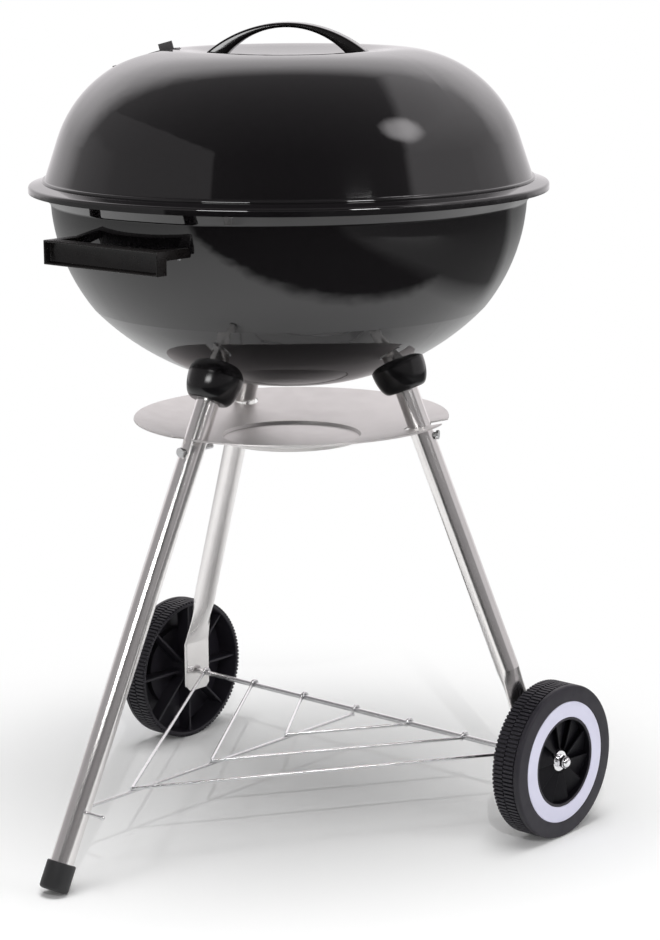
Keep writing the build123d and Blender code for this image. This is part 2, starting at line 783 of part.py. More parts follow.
with BuildPart() as outer_washers:
    for side in (1, -1):
        with BuildSketch(axle_plane(side * (nut_seat - washer_thickness))):
            Circle(washer_radius)
            Circle(axle_radius + fit_clearance, mode=Mode.SUBTRACT)
        extrude(amount=side * washer_thickness)

with BuildPart() as axle_nuts:
    for side in (1, -1):
        with BuildSketch(axle_plane(side * nut_seat)):
            Circle(nut_radius)
        extrude(amount=side * nut_length)
    fillet(axle_nuts.edges().filter_by(GeomType.CIRCLE).group_by(Axis.X)[0], nut_wall / 2)
    fillet(axle_nuts.edges().filter_by(GeomType.CIRCLE).group_by(Axis.X)[-1], nut_wall / 2)
    with BuildSketch(axle_plane(-axle_end)):
        Circle(axle_radius + weld_gap)
    extrude(amount=2 * axle_end, mode=Mode.SUBTRACT)

# Wheels: a tread wall, a face with a seat for the trim ring and a recessed hub, ribbed behind
axle_section = Plane(origin=(0, axle_setback, axle_height), x_dir=(1, 0, 0), z_dir=(0, -1, 0))
recess_radius = ring_inner_radius - fit_clearance - ring_ridge
face_back = wheel_face - ring_thickness - wheel_web
recess_back = recess_floor - wheel_web
bore_radius = axle_radius + running_clearance
rim_inside = wheel_radius - tread_wall
wheels = {}
wheel_rings = {}
for leg, side in (("right", 1), ("left", -1)):
    with BuildPart() as wheel:
        with BuildSketch(axle_section) as wheel_section:
            with BuildLine():
                Polyline(
                    (side * hub_inner_face, bore_radius),
                    (side * hub_inner_face, hub_radius),
                    (side * recess_back, hub_radius),
                    (side * recess_back, recess_radius + wheel_web),
                    (side * face_back, recess_radius + wheel_web),
                    (side * face_back, rim_inside),
                    (side * wheel_inner_face, rim_inside),
                    (side * wheel_inner_face, wheel_radius),
                    (side * wheel_face, wheel_radius),
                    (side * wheel_face, ring_outer_radius + fit_clearance),
                    (side * (wheel_face - ring_thickness), ring_outer_radius + fit_clearance),
                    (side * (wheel_face - ring_thickness), ring_inner_radius - fit_clearance),
                    (side * wheel_face, ring_inner_radius - fit_clearance),
                    (side * wheel_face, recess_radius),
                    (side * recess_floor, recess_radius),
                    (side * recess_floor, hub_radius),
                    (side * hub_outer_face, hub_radius),
                    (side * hub_outer_face, bore_radius),
                    close=True,
                )
            make_face()
            fillet(wheel_section.vertices().group_by(Axis.Y)[-1], wheel_shoulder)
        revolve(axis=axle_line)
        with BuildSketch(axle_plane(side * (wheel_inner_face + wheel_rib_inset))):
            with PolarLocations((hub_radius + rim_inside) / 2, wheel_rib_count):
                Rectangle(rim_inside - hub_radius + wheel_rib, wheel_rib)
        extrude(amount=side * (recess_back - wheel_inner_face - wheel_rib_inset + wheel_web / 2))
        with BuildSketch(axle_plane(side * (recess_floor - wheel_web / 2))):
            with PolarLocations((hub_radius + recess_radius) / 2, hub_vane_count):
                Rectangle(recess_radius - hub_radius + hub_vane, hub_vane)
        extrude(amount=side * (wheel_web / 2 + hub_vane_height))
    wheels[leg] = wheel
    with BuildPart() as wheel_ring:
        with BuildSketch(axle_plane(side * (wheel_face - ring_thickness))):
            Circle(ring_outer_radius)
            Circle(ring_inner_radius, mode=Mode.SUBTRACT)
        extrude(amount=side * ring_thickness)
    wheel_rings[leg] = wheel_ring

# Wire rack: a spine from the front leg to the axle and pairs of arms, all hooked over the axle
hook_radius = axle_radius + fit_clearance + rack_wire
hook_start = axle_setback - hook_radius


def wire(start, end):
    """A straight round rod between two points."""
    start, end = Vector(*start), Vector(*end)
    with BuildPart() as rod:
        with BuildSketch(Plane(origin=start, z_dir=end - start)):
            Circle(rack_wire)
        extrude(amount=(end - start).length)
    return rod.part


def hook(reach):
    """A hook of wire from under the front of the axle over its top, at a distance along X."""
    lead = radians(rack_hook_lead)
    start = (reach, axle_setback - hook_radius * cos(lead), axle_height - hook_radius * sin(lead))
    with BuildPart() as bend:
        with BuildSketch(Plane(origin=start, z_dir=(0, -sin(lead), cos(lead)))):
            Circle(rack_wire)
        revolve(axis=axle_line, revolution_arc=-rack_hook_sweep)
    return bend.part


spine_front = leg_point("front", spine_height).Y
with BuildPart() as rack_spine:
    add(wire((0, spine_front, spine_height), (0, hook_start, spine_height)))
    add(wire((0, hook_start, spine_height - rack_wire), (0, hook_start, axle_height)))
    add(hook(0))

rack_arms = {}
for number in range(1, rack_arm_pairs + 1):
    reach = number * rack_arm_pitch
    vertex = (0, axle_setback - reach * rack_run_ratio, rack_height)
    for leg, side in (("right", 1), ("left", -1)):
        with BuildPart() as rack_arm:
            add(wire(vertex, (side * reach, hook_start, rack_height)))
            add(hook(side * reach))
            with BuildSketch(Plane.YZ.offset(side * weld_gap)):
                with Locations((vertex[1], rack_height)):
                    Circle(4 * rack_wire)
            extrude(amount=-side * 4 * rack_wire, mode=Mode.SUBTRACT)
        rack_arms[f"rack_arm_{leg}_{number}"] = rack_arm

# Stop pin beside the front leg, where the spine enters it
stop_height = spine_height
stop_point = leg_point("front", stop_height)
with BuildPart() as rack_stop:
    with BuildSketch(Plane.YZ.offset(leg_radius + weld_gap)):
        with Locations((stop_point.Y, stop_height)):
            Circle(rack_wire)
    extrude(amount=rack_stop_length)
    with Locations((leg_radius + weld_gap + rack_stop_length, stop_point.Y, stop_height)):
        Sphere(1.5 * rack_wire)

# Cooking grate on brackets in the bowl
grate_height = rim_height - grate_drop
grate_radius = side_reach(grate_height, sheet) - grate_clearance - grate_ring_wire


def bar_height(ring_height):
    """Height of the bars that are welded onto a grate's ring."""
    return ring_height + grate_ring_wire + weld_gap + grate_bar_wire


def grate_bar_lines(radius, pitch):
    """Shift and half length of each parallel bar that lies across a grate's ring."""
    count = floor(radius / pitch) - 1
    shifts = [step * pitch for step in range(-count, count + 1)]
    return [(shift, sqrt(radius**2 - shift**2) + grate_bar_wire) for shift in shifts]


brace_height = bar_height(grate_height) - 2 * grate_bar_wire - weld_gap
brace_half = sqrt((grate_radius - 2 * grate_ring_wire) ** 2 - grate_brace_offset**2)
with BuildPart() as cooking_grate_ring:
    with Locations((0, 0, grate_height)):
        Torus(grate_radius, grate_ring_wire)

with BuildPart() as cooking_grate_bars:
    for shift, half in grate_bar_lines(grate_radius, grate_bar_pitch):
        with BuildSketch(Plane.YZ.offset(-half)):
            with Locations((shift, bar_height(grate_height))):
                Circle(grate_bar_wire)
        extrude(amount=2 * half)
    for shift in (-grate_brace_offset, grate_brace_offset):
        with BuildSketch(Plane.XZ.offset(-brace_half)):
            with Locations((shift, brace_height)):
                Circle(grate_bar_wire)
        extrude(amount=2 * brace_half)

bracket_top = grate_height - grate_ring_wire - seat_gap
with BuildPart() as grate_brackets:
    with BuildSketch(Plane.XY.offset(bracket_top)):
        with PolarLocations(side_reach(bracket_top, sheet), bracket_count, 90):
            Rectangle(2 * bracket_reach, bracket_width)
    extrude(amount=-bracket_thickness)
    add(bowl_inside.part, mode=Mode.INTERSECT)

# Charcoal grate resting on the bowl's cone, inside the crease
charcoal_height = cone_height(charcoal_ring_radius, sheet + grate_ring_wire + seat_gap)
with BuildPart() as charcoal_grate_ring:
    with Locations((0, 0, charcoal_height)):
        Torus(charcoal_ring_radius, grate_ring_wire)

with BuildPart() as charcoal_grate_bars:
    for shift, half in grate_bar_lines(charcoal_ring_radius, charcoal_bar_pitch):
        with BuildSketch(Plane.YZ.offset(-half)):
            with Locations((shift, bar_height(charcoal_height))):
                Circle(grate_bar_wire)
        extrude(amount=2 * half)

pieces = {
    "lid_shell": lid_shell,
    "lid_handle": lid_handle,
    "lid_handle_screws": lid_handle_screws,
    "lid_damper": lid_damper,
    "lid_vent_rivet": lid_vent_rivet,
    "bowl_shell": bowl_shell,
    "bowl_damper": bowl_damper,
    "bowl_vent_rivet": bowl_vent_rivet,
    "side_handle": side_handle,
    "side_handle_screws": side_handle_screws,
    "front_socket": sockets["front"],
    "right_socket": sockets["right"],
    "left_socket": sockets["left"],
    "socket_bolts": socket_bolts,
    "front_leg": front_leg,
    "right_leg": wheel_legs["right"],
    "left_leg": wheel_legs["left"],
    "foot_cap": foot_cap,
    "ash_catcher": ash_catcher,
    "ash_catcher_screws": ash_catcher_screws,
    "axle": axle,
    "inner_washers": inner_washers,
    "outer_washers": outer_washers,
    "axle_nuts": axle_nuts,
    "right_wheel": wheels["right"],
    "left_wheel": wheels["left"],
    "right_wheel_ring": wheel_rings["right"],
    "left_wheel_ring": wheel_rings["left"],
    "rack_spine": rack_spine,
    "rack_stop": rack_stop,
    "cooking_grate_ring": cooking_grate_ring,
    "cooking_grate_bars": cooking_grate_bars,
    "grate_brackets": grate_brackets,
    "charcoal_grate_ring": charcoal_grate_ring,
    "charcoal_grate_bars": charcoal_grate_bars,
    **rack_arms,
}

# The outline reaches from the foot cap's front to the back of the rim
frame_shift = -(rim_radius + foot_cap.part.bounding_box().min.Y) / 2
os.makedirs("parts", exist_ok=True)
for name, piece in pieces.items():
    piece.part.move(Pos(0, frame_shift, 0))
    piece.part.label = name
    export_step(piece.part, f"parts/{name}.step")
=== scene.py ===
import logging
from dataclasses import dataclass
from enum import Enum
from math import asin, cos, degrees, pi, radians, sin, sqrt, tan
from typing import ClassVar

import bmesh
import bpy
from mathutils import Matrix, Vector


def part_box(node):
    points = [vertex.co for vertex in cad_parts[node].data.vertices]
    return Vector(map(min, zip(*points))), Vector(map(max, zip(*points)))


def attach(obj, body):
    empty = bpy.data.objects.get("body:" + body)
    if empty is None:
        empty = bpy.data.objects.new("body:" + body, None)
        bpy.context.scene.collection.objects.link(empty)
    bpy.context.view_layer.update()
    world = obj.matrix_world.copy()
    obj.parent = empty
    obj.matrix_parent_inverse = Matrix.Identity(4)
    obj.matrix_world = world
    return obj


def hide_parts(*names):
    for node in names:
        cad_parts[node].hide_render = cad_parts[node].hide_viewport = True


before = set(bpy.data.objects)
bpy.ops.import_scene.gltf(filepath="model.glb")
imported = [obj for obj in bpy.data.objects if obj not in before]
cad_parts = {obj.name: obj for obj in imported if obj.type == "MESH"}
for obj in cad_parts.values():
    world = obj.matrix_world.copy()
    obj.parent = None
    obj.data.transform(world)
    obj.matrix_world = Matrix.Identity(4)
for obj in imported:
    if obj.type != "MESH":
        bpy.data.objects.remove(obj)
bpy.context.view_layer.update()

log = logging.getLogger("kettle_grill")

Colour = tuple[float, float, float]
Triple = tuple[float, float, float]
Span = tuple[float, float]
Socket = bpy.types.NodeSocket

MM = 0.001
FULL_TURN = 2.0 * pi
ORIGIN: Triple = (0.0, 0.0, 0.0)
UPWARD: Triple = (0.0, 0.0, 1.0)
TOWARD: Triple = (1.0, 0.0, 0.0)
WHITE = (1.0, 1.0, 1.0, 1.0)
RISE: Span = (0.0, 1.0)
CORNER = -90.0  # degrees of an arc that rounds an outer corner
MERGE = 0.0005  # points nearer than this, in millimetres, are one
CREASE = 32.0  # degrees from which an edge is drawn sharp
CLOUDS: Span = (0.3, 0.7)  # the range that most of a noise keeps to
FACING = 0.5  # part of a face's normal from which it looks that way


class Side(Enum):
    """The two ends of the axle."""

    RIGHT = 1
    LEFT = -1

    @property
    def label(self) -> str:
        """The side's name as the nodes spell it."""
        return self.name.lower()


class Body(Enum):
    """The groups that the new pieces ride on."""

    STAND = "stand"
    LID = "lid"
    RIGHT_WHEEL = "right_wheel"
    LEFT_WHEEL = "left_wheel"


class Tree:
    """A node tree being laid out, for a finish or for the studio's surroundings."""

    def __init__(self, tree: bpy.types.NodeTree) -> None:
        """Start from an emptied tree."""
        self.tree = tree
        tree.nodes.clear()

    def add(self, kind: str, *sources: object, **settings: object) -> bpy.types.Node:
        """Add a node.

        Args:
            kind: The node's type name.
            sources: Sockets or values for its first inputs, in order.
            settings: Attributes of the node to set.

        Returns:
            The new node.
        """
        node = self.tree.nodes.new(kind)
        for name, value in settings.items():
            setattr(node, name, value)
        for socket, source in zip(node.inputs, sources):
            self.feed(socket, source)
        return node

    def fill(self, node: bpy.types.Node, **values: object) -> bpy.types.Node:
        """Fill inputs of a node by name.

        Args:
            node: The node to fill.
            values: A socket or a value for each input, its name written with underscores.

        Returns:
            The node.
        """
        for name, value in values.items():
            self.feed(node.inputs[name.replace("_", " ")], value)
        return node

    def feed(self, socket: Socket, source: object) -> None:
        """Join a socket to another socket, or set it to a plain value.

        Args:
            socket: The input to fill.
            source: An output socket, or a value.
        """
        if isinstance(source, Socket):
            self.tree.links.new(source, socket)
        else:
            socket.default_value = source

    def reckon(self, operation: str, first: object, second: object) -> Socket:
        """Return the socket of a sum of two sockets or numbers."""
        return self.add("ShaderNodeMath", first, second, operation=operation).outputs["Value"]

    def spread(self, value: object, near: Span, far: Span, smooth: bool = False) -> Socket:
        """Map a socket from the range near onto the range far, easing in and out if smooth."""
        easing = "SMOOTHSTEP" if smooth else "LINEAR"
        return self.add("ShaderNodeMapRange", value, *near, *far, interpolation_type=easing).outputs["Result"]

    def along(self, vector: Socket, direction: Vector) -> Socket:
        """Return the socket of how far a vector runs in a direction."""
        return self.add("ShaderNodeVectorMath", vector, direction, operation="DOT_PRODUCT").outputs["Value"]


class Sheet(Tree):
    """The node tree of one finish, around a principled shader."""

    def __init__(self, name: str) -> None:
        """Start a finish.

        Args:
            name: The material's name.
        """
        self.material = bpy.data.materials.new(name)
        self.material.use_nodes = True
        super().__init__(self.material.node_tree)
        self.shader = self.add("ShaderNodeBsdfPrincipled")
        self.add("ShaderNodeOutputMaterial", self.shader.outputs["BSDF"])
        self.place = self.add("ShaderNodeTexCoord").outputs["Object"]
        self.relief: Socket | None = None

    def cells(self, size: Triple, centre: Triple = ORIGIN, turn: Triple = ORIGIN) -> Socket:
        """Coordinates counted in cells of a size in metres, from a centre, turned in radians."""
        node = self.add("ShaderNodeMapping", self.place, centre, turn, size, vector_type="TEXTURE")
        return node.outputs["Vector"]

    def noise(
        self, size: Triple | float, detail: float = 2.0, rough: float = 0.5, turn: Triple = ORIGIN
    ) -> Socket:
        """Cloudy variation.

        Args:
            size: The size of its clouds, in metres.
            detail: How many finer layers it has.
            rough: How strong the finer layers are.
            turn: How the clouds are turned.

        Returns:
            A socket that varies about a half.
        """
        spans = size if isinstance(size, tuple) else (size, size, size)
        node = self.add("ShaderNodeTexNoise")
        self.fill(node, Scale=1.0, Detail=detail, Roughness=rough, Vector=self.cells(spans, turn=turn))
        return node.outputs["Fac"]

    def tint(self, value: Socket, dark: Colour, light: Colour, edge: float = 0.15) -> None:
        """Colour the shader between two tones.

        Args:
            value: The socket that chooses between them.
            dark: The tone of low values.
            light: The tone of high values.
            edge: Half the range about a half over which the tone changes.
        """
        node = self.add("ShaderNodeValToRGB", value)
        low, high = node.color_ramp.elements
        low.position, high.position = 0.5 - edge, 0.5 + edge
        low.color, high.color = (*dark, 1.0), (*light, 1.0)
        self.fill(self.shader, Base_Color=node.outputs["Color"])

    def gloss(self, value: Socket, smooth: float, rough: float) -> None:
        """Vary the shader's roughness between two levels with a socket that varies about a half."""
        self.fill(self.shader, Roughness=self.spread(value, CLOUDS, (smooth, rough)))

    def emboss(self, value: Socket, depth: float, strength: float) -> None:
        """Raise the surface where a value is high, on top of earlier relief.

        Args:
            value: The height's socket.
            depth: The height in metres of a change of one.
            strength: How strongly it shows.
        """
        node = self.fill(self.add("ShaderNodeBump"), Distance=depth, Strength=strength, Height=value)
        if self.relief:
            self.fill(node, Normal=self.relief)
        self.relief = node.outputs["Normal"]
        self.fill(self.shader, Normal=self.relief)


@dataclass(frozen=True)
class Finish:
    """What a piece is finished in: two tones and a range of roughness."""

    name: str
    dark: Colour
    light: Colour
    smooth: float
    rough: float

    def mix(self) -> bpy.types.Material:
        """Mix the finish.

        Returns:
            The material with its nodes laid out.
        """
        sheet = Sheet(self.name)
        self.lay(sheet)
        return sheet.material

    def lay(self, sheet: Sheet) -> None:
        """Lay out the nodes of this kind of finish."""
        raise NotImplementedError


@dataclass(frozen=True)
class Enamel(Finish):
    """Gloss vitreous enamel with a faint orange peel and a slow change of gloss."""

    fleck: float = 0.0009
    cloud: float = 0.09
    peel: float = 0.011
    peel_depth: float = 0.00003
    peel_strength: float = 0.35
    index: float = 1.65

    def lay(self, sheet: Sheet) -> None:
        """Lay out the enamel's nodes.

        Args:
            sheet: Where they are laid out.
        """
        sheet.tint(sheet.noise(self.fleck, detail=1.0), self.dark, self.light)
        sheet.gloss(sheet.noise(self.cloud, detail=3.0), self.smooth, self.rough)
        sheet.emboss(sheet.noise(self.peel, detail=1.0), self.peel_depth, self.peel_strength)
        sheet.fill(sheet.shader, IOR=self.index)


@dataclass(frozen=True)
class Moulded(Finish):
    """Moulded plastic or rubber with a fine spark-eroded grain and faint flow clouds."""

    grain: float = 0.00045
    grain_depth: float = 0.00002
    cloud: float = 0.02
    shine: float = 0.5

    def lay(self, sheet: Sheet) -> None:
        """Lay out the plastic's nodes.

        Args:
            sheet: Where they are laid out.
        """
        sheet.tint(sheet.noise(self.cloud, detail=4.0, rough=0.6), self.dark, self.light, edge=0.25)
        sheet.gloss(sheet.noise(self.cloud / 2, detail=3.0), self.smooth, self.rough)
        sheet.emboss(sheet.noise(self.grain), self.grain_depth, strength=0.6)
        sheet.fill(sheet.shader, Specular_IOR_Level=self.shine)


@dataclass(frozen=True)
class Plated(Finish):
    """Plated metal with drawing lines along one direction."""

    along: Triple = UPWARD
    line: float = 0.0007
    line_length: float = 0.06
    line_depth: float = 0.000002
    cloud: float = 0.03

    def lay(self, sheet: Sheet) -> None:
        """Lay out the plating's nodes.

        Args:
            sheet: Where they are laid out.
        """
        turn = Vector(self.along).to_track_quat("Z", "Y").to_euler()
        drawn = sheet.noise((self.line, self.line, self.line_length), rough=0.6, turn=tuple(turn))
        sheet.tint(sheet.noise(self.cloud, detail=3.0), self.dark, self.light, edge=0.3)
        sheet.gloss(drawn, self.smooth, self.rough)
        sheet.emboss(drawn, self.line_depth, strength=0.5)
        sheet.fill(sheet.shader, Metallic=1.0)


@dataclass(frozen=True)
class Spun(Finish):
    """Sheet metal with the fine rings that spinning leaves about an axis."""

    centre: Triple
    ring: float = 0.0035
    ring_depth: float = 0.000012
    ring_wander: float = 0.6
    cloud: float = 0.035
    haze: float = 0.012
    grain: float = 0.0008
    grain_depth: float = 0.000006

    def lay(self, sheet: Sheet) -> None:
        """Lay out the sheet's nodes.

        Args:
            sheet: Where they are laid out.
        """
        wave = sheet.add("ShaderNodeTexWave", wave_type="RINGS", rings_direction="Z")
        sheet.fill(wave, Scale=1.0 / (self.ring * FULL_TURN), Distortion=self.ring_wander, Detail=2.0)
        sheet.fill(wave, Vector=sheet.cells((1.0, 1.0, 1.0), self.centre))
        sheet.tint(sheet.noise(self.cloud, detail=4.0, rough=0.6), self.dark, self.light, edge=0.3)
        sheet.gloss(sheet.noise(self.haze, detail=3.0), self.smooth, self.rough)
        sheet.emboss(wave.outputs["Fac"], self.ring_depth, strength=0.5)
        sheet.emboss(sheet.noise(self.grain), self.grain_depth, strength=0.4)
        sheet.fill(sheet.shader, Metallic=1.0)


class Blank:
    """A mesh in the making, in millimetres, shaped with bmesh operators.

    Half sections are drawn in the plane of x, outwards from the axis, and z, along it.
    """

    def __init__(self) -> None:
        """Start with an empty mesh."""
        self.mesh = bmesh.new()
        self.tip: bmesh.types.BMVert | None = None

    @property
    def parts(self) -> list[object]:
        """All points, edges and faces."""
        return self.mesh.verts[:] + self.mesh.edges[:] + self.mesh.faces[:]

    def spin(
        self, turn: float, steps: int, rise: float = 0.0, merge: bool = False, copies: bool = False
    ) -> None:
        """Sweep the mesh round the axis by a turn in radians, rising each step, or repeat it as copies."""
        bmesh.ops.spin(
            self.mesh, geom=self.parts, cent=ORIGIN, axis=UPWARD, dvec=(0.0, 0.0, rise), angle=turn,
            steps=steps, use_merge=merge, use_duplicate=copies,
        )

    def start(self, out: float, along: float) -> "Blank":
        """Put down the first point of a section and return the blank."""
        self.tip = self.mesh.verts.new((out, 0.0, along))
        return self

    def line(self, *points: Span) -> "Blank":
        """Draw straight runs.

        Args:
            points: The distance out and along of each next point.

        Returns:
            The blank.
        """
        for out, along in points:
            step = bmesh.ops.extrude_vert_indiv(self.mesh, verts=[self.tip])
            self.tip = step["verts"][0]
            bmesh.ops.translate(self.mesh, verts=[self.tip], vec=Vector((out, 0.0, along)) - self.tip.co)
        return self

    def arc(self, out: float, along: float, turn: float, steps: int = 4) -> "Blank":
        """Draw an arc about a centre.

        Args:
            out: The centre's distance from the axis.
            along: The centre's place along the axis.
            turn: The angle in degrees, positive from along the axis to outwards.
            steps: The number of runs in it.

        Returns:
            The blank.
        """
        step = bmesh.ops.spin(
            self.mesh, geom=[self.tip], cent=(out, 0.0, along), axis=(0.0, 1.0, 0.0), dvec=ORIGIN,
            angle=radians(turn), steps=steps, use_merge=False, use_duplicate=False,
        )
        self.tip = next(part for part in step["geom_last"] if isinstance(part, bmesh.types.BMVert))
        return self

    def lathe(self, steps: int) -> "Blank":
        """Turn the section full round the axis and return the blank."""
        self.spin(FULL_TURN, steps, merge=True)
        return self.tidy()

    def tidy(self) -> "Blank":
        """Merge doubled points and turn the faces outwards.

        Returns:
            The blank.
        """
        bmesh.ops.remove_doubles(self.mesh, verts=self.mesh.verts, dist=MERGE)
        bmesh.ops.recalc_face_normals(self.mesh, faces=self.mesh.faces)
        return self

    def block(self, size: Triple, centre: Triple) -> "Blank":
        """Add a block of a width, depth and height about a centre and return the blank."""
        bmesh.ops.create_cube(self.mesh, size=1.0, matrix=Matrix.LocRotScale(centre, None, size))
        return self

    def soften(self, width: float, segments: int = 2, sharper: float = 30.0) -> "Blank":
        """Round the sharp edges.

        Args:
            width: How far the rounding reaches from an edge.
            segments: The number of faces across it.
            sharper: The least angle in degrees of an edge that is rounded.

        Returns:
            The blank.
        """
        edges = [edge for edge in self.mesh.edges if edge.calc_face_angle(0.0) > radians(sharper)]
        bmesh.ops.bevel(
            self.mesh, geom=edges, offset=width, offset_type="OFFSET", affect="EDGES", segments=segments,
            profile=0.5, material=-1, clamp_overlap=True,
        )
        return self

    def repeat(self, count: int) -> "Blank":
        """Repeat the whole mesh evenly round the axis and return the blank."""
        self.spin(FULL_TURN * (count - 1) / count, count - 1, copies=True)
        return self

    def move(self, place: Matrix) -> "Blank":
        """Move the whole mesh.

        Args:
            place: The frame to move it to.

        Returns:
            The blank.
        """
        bmesh.ops.transform(self.mesh, matrix=place, verts=self.mesh.verts)
        if place.determinant() < 0.0:
            bmesh.ops.reverse_faces(self.mesh, faces=self.mesh.faces)
        return self

    def absorb(self, other: "Blank") -> "Blank":
        """Take in another blank's mesh.

        Args:
            other: The other blank, which is used up.

        Returns:
            The blank.
        """
        carrier = bpy.data.meshes.new("carrier")
        other.mesh.to_mesh(carrier)
        other.mesh.free()
        self.mesh.from_mesh(carrier)
        bpy.data.meshes.remove(carrier)
        return self

    def finish(self, name: str) -> bpy.types.Object:
        """Make the object, in metres at the origin.

        Args:
            name: The object's name.

        Returns:
            The object.
        """
        bmesh.ops.scale(self.mesh, vec=(MM, MM, MM), verts=self.mesh.verts)
        data = bpy.data.meshes.new(name)
        self.mesh.to_mesh(data)
        self.mesh.free()
        data.shade_smooth()
        data.set_sharp_from_angle(angle=radians(CREASE))
        piece = bpy.data.objects.new(name, data)
        bpy.context.scene.collection.objects.link(piece)
        return piece


@dataclass
class Layout:
    """Places that several pieces share, in millimetres."""

    axle_setback: float = 93.0
    axle_height: float = 74.0
    rim_height: float = 613.0
    lid_turn: float = 35.0

    @property
    def kettle_y(self) -> float:
        """The kettle's axis, from the lid's box."""
        low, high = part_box("lid_shell")
        return (low[1] + high[1]) / 2 / MM

    def kettle(self) -> Matrix:
        """Frame on the ground under the kettle's axis."""
        return Matrix.Translation((0.0, self.kettle_y, 0.0))

    def rim(self) -> Matrix:
        """Frame at the middle of the kettle's rim."""
        return self.kettle() @ Matrix.Translation((0.0, 0.0, self.rim_height))

    def axle(self, side: Side) -> Matrix:
        """Frame at the axle's middle whose z runs out along it.

        Args:
            side: The end to face.

        Returns:
            The frame's matrix, a mirrored one on the left.
        """
        turn = Matrix(((0, 0, 1, 0), (1, 0, 0, 0), (0, 1, 0, 0), (0, 0, 0, 1)))
        flip = Matrix.Diagonal((side.value, 1.0, 1.0, 1.0))
        here = Matrix.Translation((0.0, self.kettle_y + self.axle_setback, self.axle_height))
        return here @ flip @ turn


@dataclass
class Assembly:
    """A sub-assembly, which finishes its pieces and hangs them on their bodies. Each finish is mixed once."""

    layout: Layout
    pots: ClassVar[dict[str, bpy.types.Material]] = {}

    def pot(self, finish: Finish) -> bpy.types.Material:
        """Return the finish's material, mixed on first use."""
        material = self.pots.get(finish.name) or finish.mix()
        return self.pots.setdefault(finish.name, material)

    def carry(self, finish: Finish, *nodes: str) -> None:
        """Dress solids whose own shapes are shown.

        Args:
            finish: What they are finished in.
            nodes: The solids' names.
        """
        for node in nodes:
            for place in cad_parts[node].material_slots:
                place.material = self.pot(finish)
            log.info("carried %s in %s", node, finish.name)

    def hand_over(
        self, blank: Blank, name: str, body: Body, slot: str, finish: Finish, *stands_for: str
    ) -> None:
        """Turn a blank into a finished piece of the object.

        Args:
            blank: The shaped mesh, in millimetres.
            name: The piece's name.
            body: The group that it rides on.
            slot: The record's material slot; not used.
            finish: What it is finished in.
            stands_for: The solids that it is shown in place of.
        """
        piece = blank.finish(name)
        piece.data.materials.append(self.pot(finish))
        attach(piece, body.value)
        if stands_for:
            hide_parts(*stands_for)
        log.info("made %s, %d faces, in %s", name, len(piece.data.polygons), finish.name)


BLACK_GRIP = Moulded("black_grip", (0.0042, 0.0034, 0.0034), (0.007, 0.0058, 0.0056), 0.22, 0.34, shine=0.36)
HANDLE_GLOSS = Moulded(
    "handle_gloss", (0.0042, 0.0034, 0.0036), (0.0070, 0.0058, 0.0060), 0.09, 0.15,
    grain_depth=0.000003, cloud=0.03,
)
SOCKET_BLACK = Moulded("socket_black", (0.0045, 0.0042, 0.0048), (0.0070, 0.0066, 0.0074), 0.14, 0.20)
TYRE = Moulded("wheel_charcoal", (0.0145, 0.0130, 0.0185), (0.0205, 0.0185, 0.0250), 0.44, 0.58, shine=0.4)
# Near-black plastic for the wheel's recess and fins, darker than the tyre's: painted shade of the recess.
FAN_PAINTED_SHADE = Moulded(
    "fan_painted_shade", (0.0035, 0.0033, 0.0048), (0.0055, 0.0052, 0.0070), 0.42, 0.56, cloud=0.01, shine=0.15,
)
TRIM = Moulded("trim_lilac", (0.60, 0.595, 0.73), (0.66, 0.655, 0.79), 0.30, 0.42, cloud=0.03)
RUBBER = Moulded("foot_rubber", (0.010, 0.010, 0.011), (0.017, 0.017, 0.018), 0.45, 0.6)
ENAMEL = Enamel("black_enamel", (0.0035, 0.0030, 0.0035), (0.0065, 0.0058, 0.0065), 0.030, 0.060)
ZINC = Plated(
    "zinc_plate", (0.62, 0.62, 0.63), (0.74, 0.74, 0.75), 0.18, 0.34, line=0.0005, line_length=0.004,
)
BRIGHT = Plated(
    "bright_nut", (0.80, 0.80, 0.82), (0.88, 0.88, 0.89), 0.08, 0.18, line=0.0006, line_length=0.003,
)
WIRE = Plated("zinc_wire", (0.66, 0.66, 0.67), (0.76, 0.76, 0.77), 0.16, 0.30, along=(0, 1, 0))
GRATE = Plated("grate_wire", (0.52, 0.52, 0.52), (0.64, 0.63, 0.62), 0.22, 0.38, along=(1, 0, 0))
DARK_SHEET = Plated(
    "damper_sheet", (0.10, 0.10, 0.105), (0.26, 0.25, 0.25), 0.30, 0.48, line=0.0011, line_length=0.002,
)


